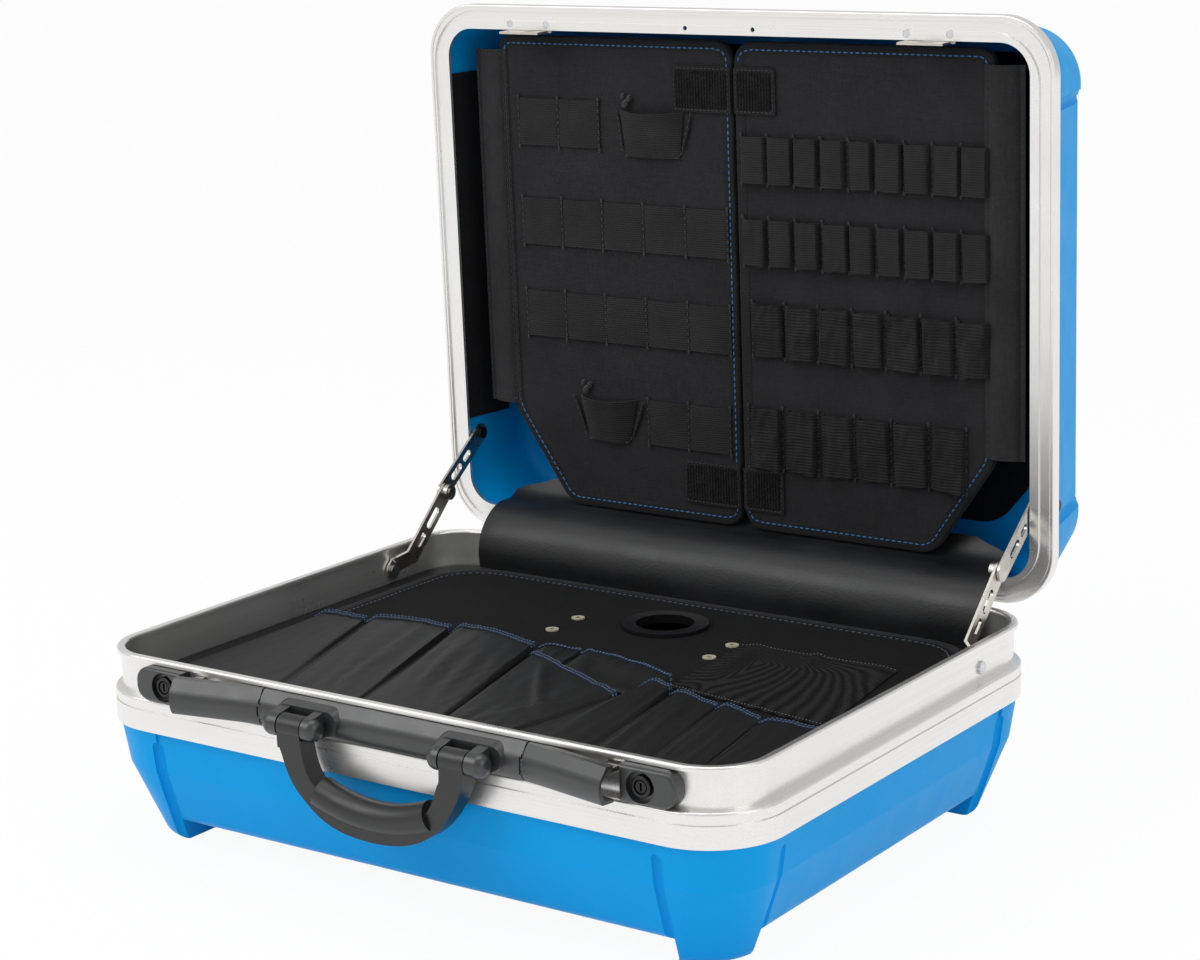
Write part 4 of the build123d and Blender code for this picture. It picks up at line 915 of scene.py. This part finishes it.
SEAM_A, SEAM_B = (-171.0, 9.0, -116.0, -158.0), (-106.0, 16.0, -56.0, -158.0)
SEAM_D, SEAM_F = (-32.0, 5.0, 8.0, -158.0), (67.0, -20.0, 45.0, -158.0)
SEAM_G, SEAM_H = (91.0, -22.0, 114.0, -158.0), (130.0, -32.0, 152.0, -158.0)
SEAM_I = (166.0, -42.0, 186.0, -157.0)


def make_net():
    """Ribbed elastic net, gathered towards its rear hem."""
    bm = bmesh.new()
    rib = bm.verts.layers.float.new("rib")

    def place(u, v):
        front = (80.0 + 122.0 * u, -10.0 - 20.0 * u)
        rear = (73.0 + 112.0 * u, 89.0 + 1.5 * u)
        x, y = (f + (r - f) * v for f, r in zip(front, rear))
        fold = 1.7 * math.exp(-((u - 0.60 + 0.10 * v) / 0.035) ** 2)
        fold += 1.2 * math.exp(-((u - 0.12) / 0.05) ** 2)
        loose = 1.0 + 0.7 * noise.noise(Vector((u * 4.0, v * 3.0, 2.0)))
        edge = min(1.0, 12.0 * min(u, 1.0 - u), 12.0 * v)
        return Vector((x, y, PALLET_TOP + 0.8 + edge * (loose + fold)))

    made = bmesh.ops.create_grid(bm, x_segments=90, y_segments=60, size=0.5)
    for vert in made["verts"]:
        u, v = vert.co.x + 0.5, vert.co.y + 0.5
        fan = smooth_step((u - 0.10) / 0.16) * smooth_step((0.98 - v) / 0.3)
        spray = math.hypot(u - 0.42, (v - 1.25) * 0.9)
        turn = math.atan2(u - 0.36, 1.25 - v) * 26.0
        vert[rib] = (1.0 - fan) * v * 30.0 + fan * (turn + spray * 8.0)
        vert.co = place(u, v)
    thicken(bm, 0.6)
    for hem in (0.012, 0.985):
        line = [place(k / 60.0, hem) + Vector((0, 0, 0.7)) for k in range(61)]
        stitch_seam(bm, line, False, 2.6, 1.6, 0.8, 0.0, 1)
    net = finish_piece(
        "net_pocket", bm, BASE_PLACE, ("net", "grey_thread"), "pallet", ("mesh_pocket",), 60.0,
    )


# ------------------------------------------------------------------ settings
class CaseFinishSettings(bpy.types.PropertyGroup):
    """Colours and surface of the case."""
    shell_blue: bpy.props.FloatVectorProperty(
        name="Shell blue", description="Colour of the plastic base and lid", subtype="COLOR",
        size=3, min=0.0, max=1.0, default=(0.0, 0.36, 0.84),
    )
    shell_roughness: bpy.props.FloatProperty(
        name="Shell roughness", description="How dull the moulded plastic is", subtype="FACTOR",
        min=0.0, max=1.0, default=0.42,
    )


class CaseStageSettings(bpy.types.PropertyGroup):
    """Light and floor around the case."""
    sky: bpy.props.FloatProperty(
        name="Sky strength", description="Light from all round", min=0.0, default=0.62,
    )
    key: bpy.props.FloatProperty(
        name="Key lamp", description="Power of the large lamp on the left", min=0.0, default=33.0,
    )


# ------------------------------------------------------------------ operators
class CASE_OT_finishes(bpy.types.Operator):
    """Mix the finishes and give them to the rigid parts"""
    bl_idname = "case.finishes"
    bl_label = "Finish the rigid parts"

    def execute(self, context):
        mix_finishes()
        finish_of = {
            "shell": ("base_shell", "lid_shell"),
            "frame_base": ("base_frame",),
            "frame_lid": ("lid_frame",),
            "liner": ("base_liner",),
            "hardware": (
                "latch_plate", "handle_lugs", "lever_left", "lever_right", "lock_housing_left",
                "lock_housing_right",
            ),
            "handle": ("handle",),
            "dark_steel": ("lock_barrel_left", "lock_barrel_right", "stay_screws", "handle_pins"),
            "bright": ("strike_screws", "hinge_base_rivets", "hinge_lid_rivets", "stay_base_rivets"),
            "steel": (
                "stay_lower_left", "stay_lower_right", "stay_upper_left", "stay_upper_right",
                "lever_hook_left", "lever_hook_right", "lever_pins", "hinge_base_leaves",
                "hinge_lid_leaves", "hinge_pins", "strike_left", "strike_right",
            ),
            "eyelet": ("pallet_eyelets",),
            "ring": ("pallet_grommet",),
        }
        for finish, nodes in finish_of.items():
            for node in nodes:
                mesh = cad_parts[node].data
                mesh.materials.clear()
                mesh.materials.append(FINISH[finish])
        return {"FINISHED"}


class CASE_OT_linings(bpy.types.Operator):
    """Make the cloth on the inside of the lid and the cover over the hinges"""
    bl_idname = "case.linings"
    bl_label = "Lid linings and hinge cover"

    def execute(self, context):
        make_lid_linings()
        make_hinge_cover()
        return {"FINISHED"}


class CASE_OT_doors(bpy.types.Operator):
    """Make the two cloth-covered tool doors and their hinge strips"""
    bl_idname = "case.doors"
    bl_label = "Tool doors"

    def execute(self, context):
        for side in (-1, 1):
            make_door(side)
            make_spine(side)
        return {"FINISHED"}


class CASE_OT_loops(bpy.types.Operator):
    """Make the loops, holsters and patches on the doors"""
    bl_idname = "case.loops"
    bl_label = "Tool loops"

    def execute(self, context):
        for number, start, count, pitch, up, height in ROWS_LEFT:
            make_row(
                f"left_loops_{number}", "door_left", start, count, pitch, up, height, 1.7, 0.0, "webbing",
                10 + number, (f"left_row_{number}",),
            )
        for number, start, count, pitch, up, height, boxy, finish in ROWS_RIGHT:
            make_row(
                f"right_loops_{number}", "door_right", start, count, pitch, up, height, 5.2, boxy, finish,
                20 + number, (f"right_row_{number}",),
            )
        make_holsters()
        make_patches(-1)
        make_patches(1)
        return {"FINISHED"}


class CASE_OT_pallet(bpy.types.Operator):
    """Make the cloth-covered pallet with its pockets"""
    bl_idname = "case.pallet"
    bl_label = "Pallet and pockets"

    def execute(self, context):
        make_pallet()
        make_pocket(
            "pockets_left_cloth", ((-209.0, 2.0, -209.0, -158.0), SEAM_A, SEAM_B, SEAM_D),
            (3.5, 5.0, 8.0), (2.0, 4.0, 3.0), 3.0, ("pockets_left",),
            ((-122.0, -4.0, -92.0, -120.0, 1.0), (-78.0, -10.0, -50.0, -90.0, 0.8)),
        )
        make_pocket(
            "pocket_rear_cloth", ((-36.0, 15.0, -26.0, -14.0), (-4.0, 20.0, 2.0, -20.0), (79.0, -4.0, 67.0, -40.0)),
            (3.0, 5.0), (1.0, 1.5), 6.0, ("pockets_rear",),
        )
        make_pocket(
            "pocket_middle_cloth", ((-32.0, 2.0, 8.0, -158.0), (67.0, -46.0, 45.0, -158.0)),
            (3.8,), (-1.0,), 5.0, ("pockets_middle",),
            ((-10.0, -18.0, 42.0, -96.0, 1.6), (60.0, -60.0, 20.0, -120.0, 1.1)),
        )
        make_pocket(
            "pockets_right_cloth", (SEAM_F, SEAM_G, SEAM_H, SEAM_I, (206.0, -40.0, 209.0, -158.0)),
            (6.0, 3.0, 3.5, 3.0), (3.0, 1.5, 2.0, 1.5), 8.0, ("pockets_right",),
            ((72.0, -40.0, 74.0, -130.0, 0.7),),
        )
        make_net()
        return {"FINISHED"}


class CASE_OT_stage(bpy.types.Operator):
    """Set the floor, the light and the camera"""
    bl_idname = "case.stage"
    bl_label = "Stage, light and camera"

    def execute(self, context):
        settings = context.scene.case_stage
        bm = bmesh.new()
        bmesh.ops.create_grid(bm, x_segments=2, y_segments=2, size=20.0)
        mesh = bpy.data.meshes.new("pale_floor")
        bm.to_mesh(mesh)
        bm.free()
        floor = bpy.data.objects.new("pale_floor", mesh)
        floor.location.z = -0.0004
        context.scene.collection.objects.link(floor)
        material, tree, shader = new_material("pale_floor", (0.92, 0.92, 0.92), 0.75)
        shader.inputs["Specular IOR Level"].default_value = 0.15
        glow = add_node(tree, "ShaderNodeEmission", (("Color", (1.0, 1.0, 1.0, 1.0)), ("Strength", 1.0)))
        path = add_node(tree, "ShaderNodeLightPath")
        seen = math_node(tree, "MAXIMUM", path.outputs["Is Camera Ray"], path.outputs["Is Glossy Ray"])
        seen = math_node(tree, "MULTIPLY", seen, 0.94)
        mixer = add_node(tree, "ShaderNodeMixShader", (("Fac", seen),))
        tree.links.new(shader.outputs["BSDF"], mixer.inputs[1])
        tree.links.new(glow.outputs["Emission"], mixer.inputs[2])
        tree.links.new(mixer.outputs["Shader"], tree.nodes["Material Output"].inputs["Surface"])
        mesh.materials.append(material)

        world = bpy.data.worlds.new("studio")
        context.scene.world = world
        world.use_nodes = True
        tree = world.node_tree
        back = tree.nodes["Background"]
        path = add_node(tree, "ShaderNodeLightPath")
        seen = math_node(tree, "MAXIMUM", path.outputs["Is Camera Ray"], path.outputs["Is Transmission Ray"])
        strength = add_node(tree, "ShaderNodeMapRange", (("Value", seen), ("To Min", settings.sky), ("To Max", 1.0)))
        tree.links.new(strength.outputs["Result"], back.inputs["Strength"])
        back.inputs["Color"].default_value = (1.0, 1.0, 1.0, 1.0)

        lamps = (
            ("key_lamp", settings.key, (2.4, 1.8), (-1.6, -2.2, 2.3), (0.0, 0.0, 0.15)),
            ("side_lamp", settings.key * 0.24, (1.6, 1.6), (2.6, -0.3, 1.3), (0.0, 0.0, 0.2)),
            ("top_lamp", settings.key * 0.5, (2.2, 1.4), (0.2, -0.2, 2.6), (0.0, 0.0, 0.1)),
        )
        for name, power, size, place, aim in lamps:
            lamp = bpy.data.lights.new(name, "AREA")
            lamp.shape = "RECTANGLE"
            lamp.size, lamp.size_y = size
            lamp.energy = power
            holder = bpy.data.objects.new(name, lamp)
            holder.location = place
            holder.rotation_euler = (Vector(aim) - Vector(place)).to_track_quat("-Z", "Y").to_euler()
            context.scene.collection.objects.link(holder)

        camera = bpy.data.cameras.new("photograph_view")
        camera.sensor_width = 36.0
        camera.lens = 2753.1 * 36.0 / 1200.0
        camera.shift_y = 2.87 / 1200.0
        camera.clip_end = 20.0
        holder = bpy.data.objects.new("photograph_view", camera)
        yaw, pitch, roll = (math.radians(a) for a in (-34.665, -13.059, -1.114))
        ahead = Vector((math.sin(yaw) * math.cos(pitch), math.cos(yaw) * math.cos(pitch), math.sin(pitch)))
        right = Vector((math.cos(yaw), -math.sin(yaw), 0.0))
        up = right.cross(ahead)
        level, tall = right, up
        right = level * math.cos(roll) + tall * math.sin(roll)
        up = tall * math.cos(roll) - level * math.sin(roll)
        turn = Matrix((right, up, -ahead)).transposed()
        spot = Vector((966.13, -1360.05 + CASE_Y, 605.86)) * MM
        holder.matrix_world = Matrix.Translation(spot) @ turn.to_4x4()
        context.scene.collection.objects.link(holder)
        context.scene.camera = holder
        context.scene.view_settings.view_transform = "Standard"
        return {"FINISHED"}


class CASE_PT_panel(bpy.types.Panel):
    bl_idname = "CASE_PT_panel"
    bl_label = "Tool case"
    bl_space_type = "VIEW_3D"
    bl_region_type = "UI"
    bl_category = "Tool Case"

    def draw(self, context):
        layout = self.layout
        for group in (context.scene.case_finish, context.scene.case_stage):
            for key in group.bl_rna.properties.keys():
                if key not in ("rna_type", "name"):
                    layout.prop(group, key)
        for operator in OPERATORS:
            layout.operator(operator.bl_idname)


OPERATORS = (
    CASE_OT_finishes, CASE_OT_linings, CASE_OT_doors, CASE_OT_loops, CASE_OT_pallet, CASE_OT_stage,
)
SETTINGS = {"case_finish": CaseFinishSettings, "case_stage": CaseStageSettings}
CLASSES = (*SETTINGS.values(), *OPERATORS, CASE_PT_panel)


def register():
    for cls in CLASSES:
        bpy.utils.register_class(cls)
    for name, group in SETTINGS.items():
        setattr(bpy.types.Scene, name, bpy.props.PointerProperty(type=group))


def unregister():
    for name in SETTINGS:
        delattr(bpy.types.Scene, name)
    for cls in reversed(CLASSES):
        bpy.utils.unregister_class(cls)


def main():
    register()
    for operator in OPERATORS:
        group, name = operator.bl_idname.split(".")
        getattr(getattr(bpy.ops, group), name)()
    bpy.context.view_layer.update()


if __name__ == "__main__":
    main()
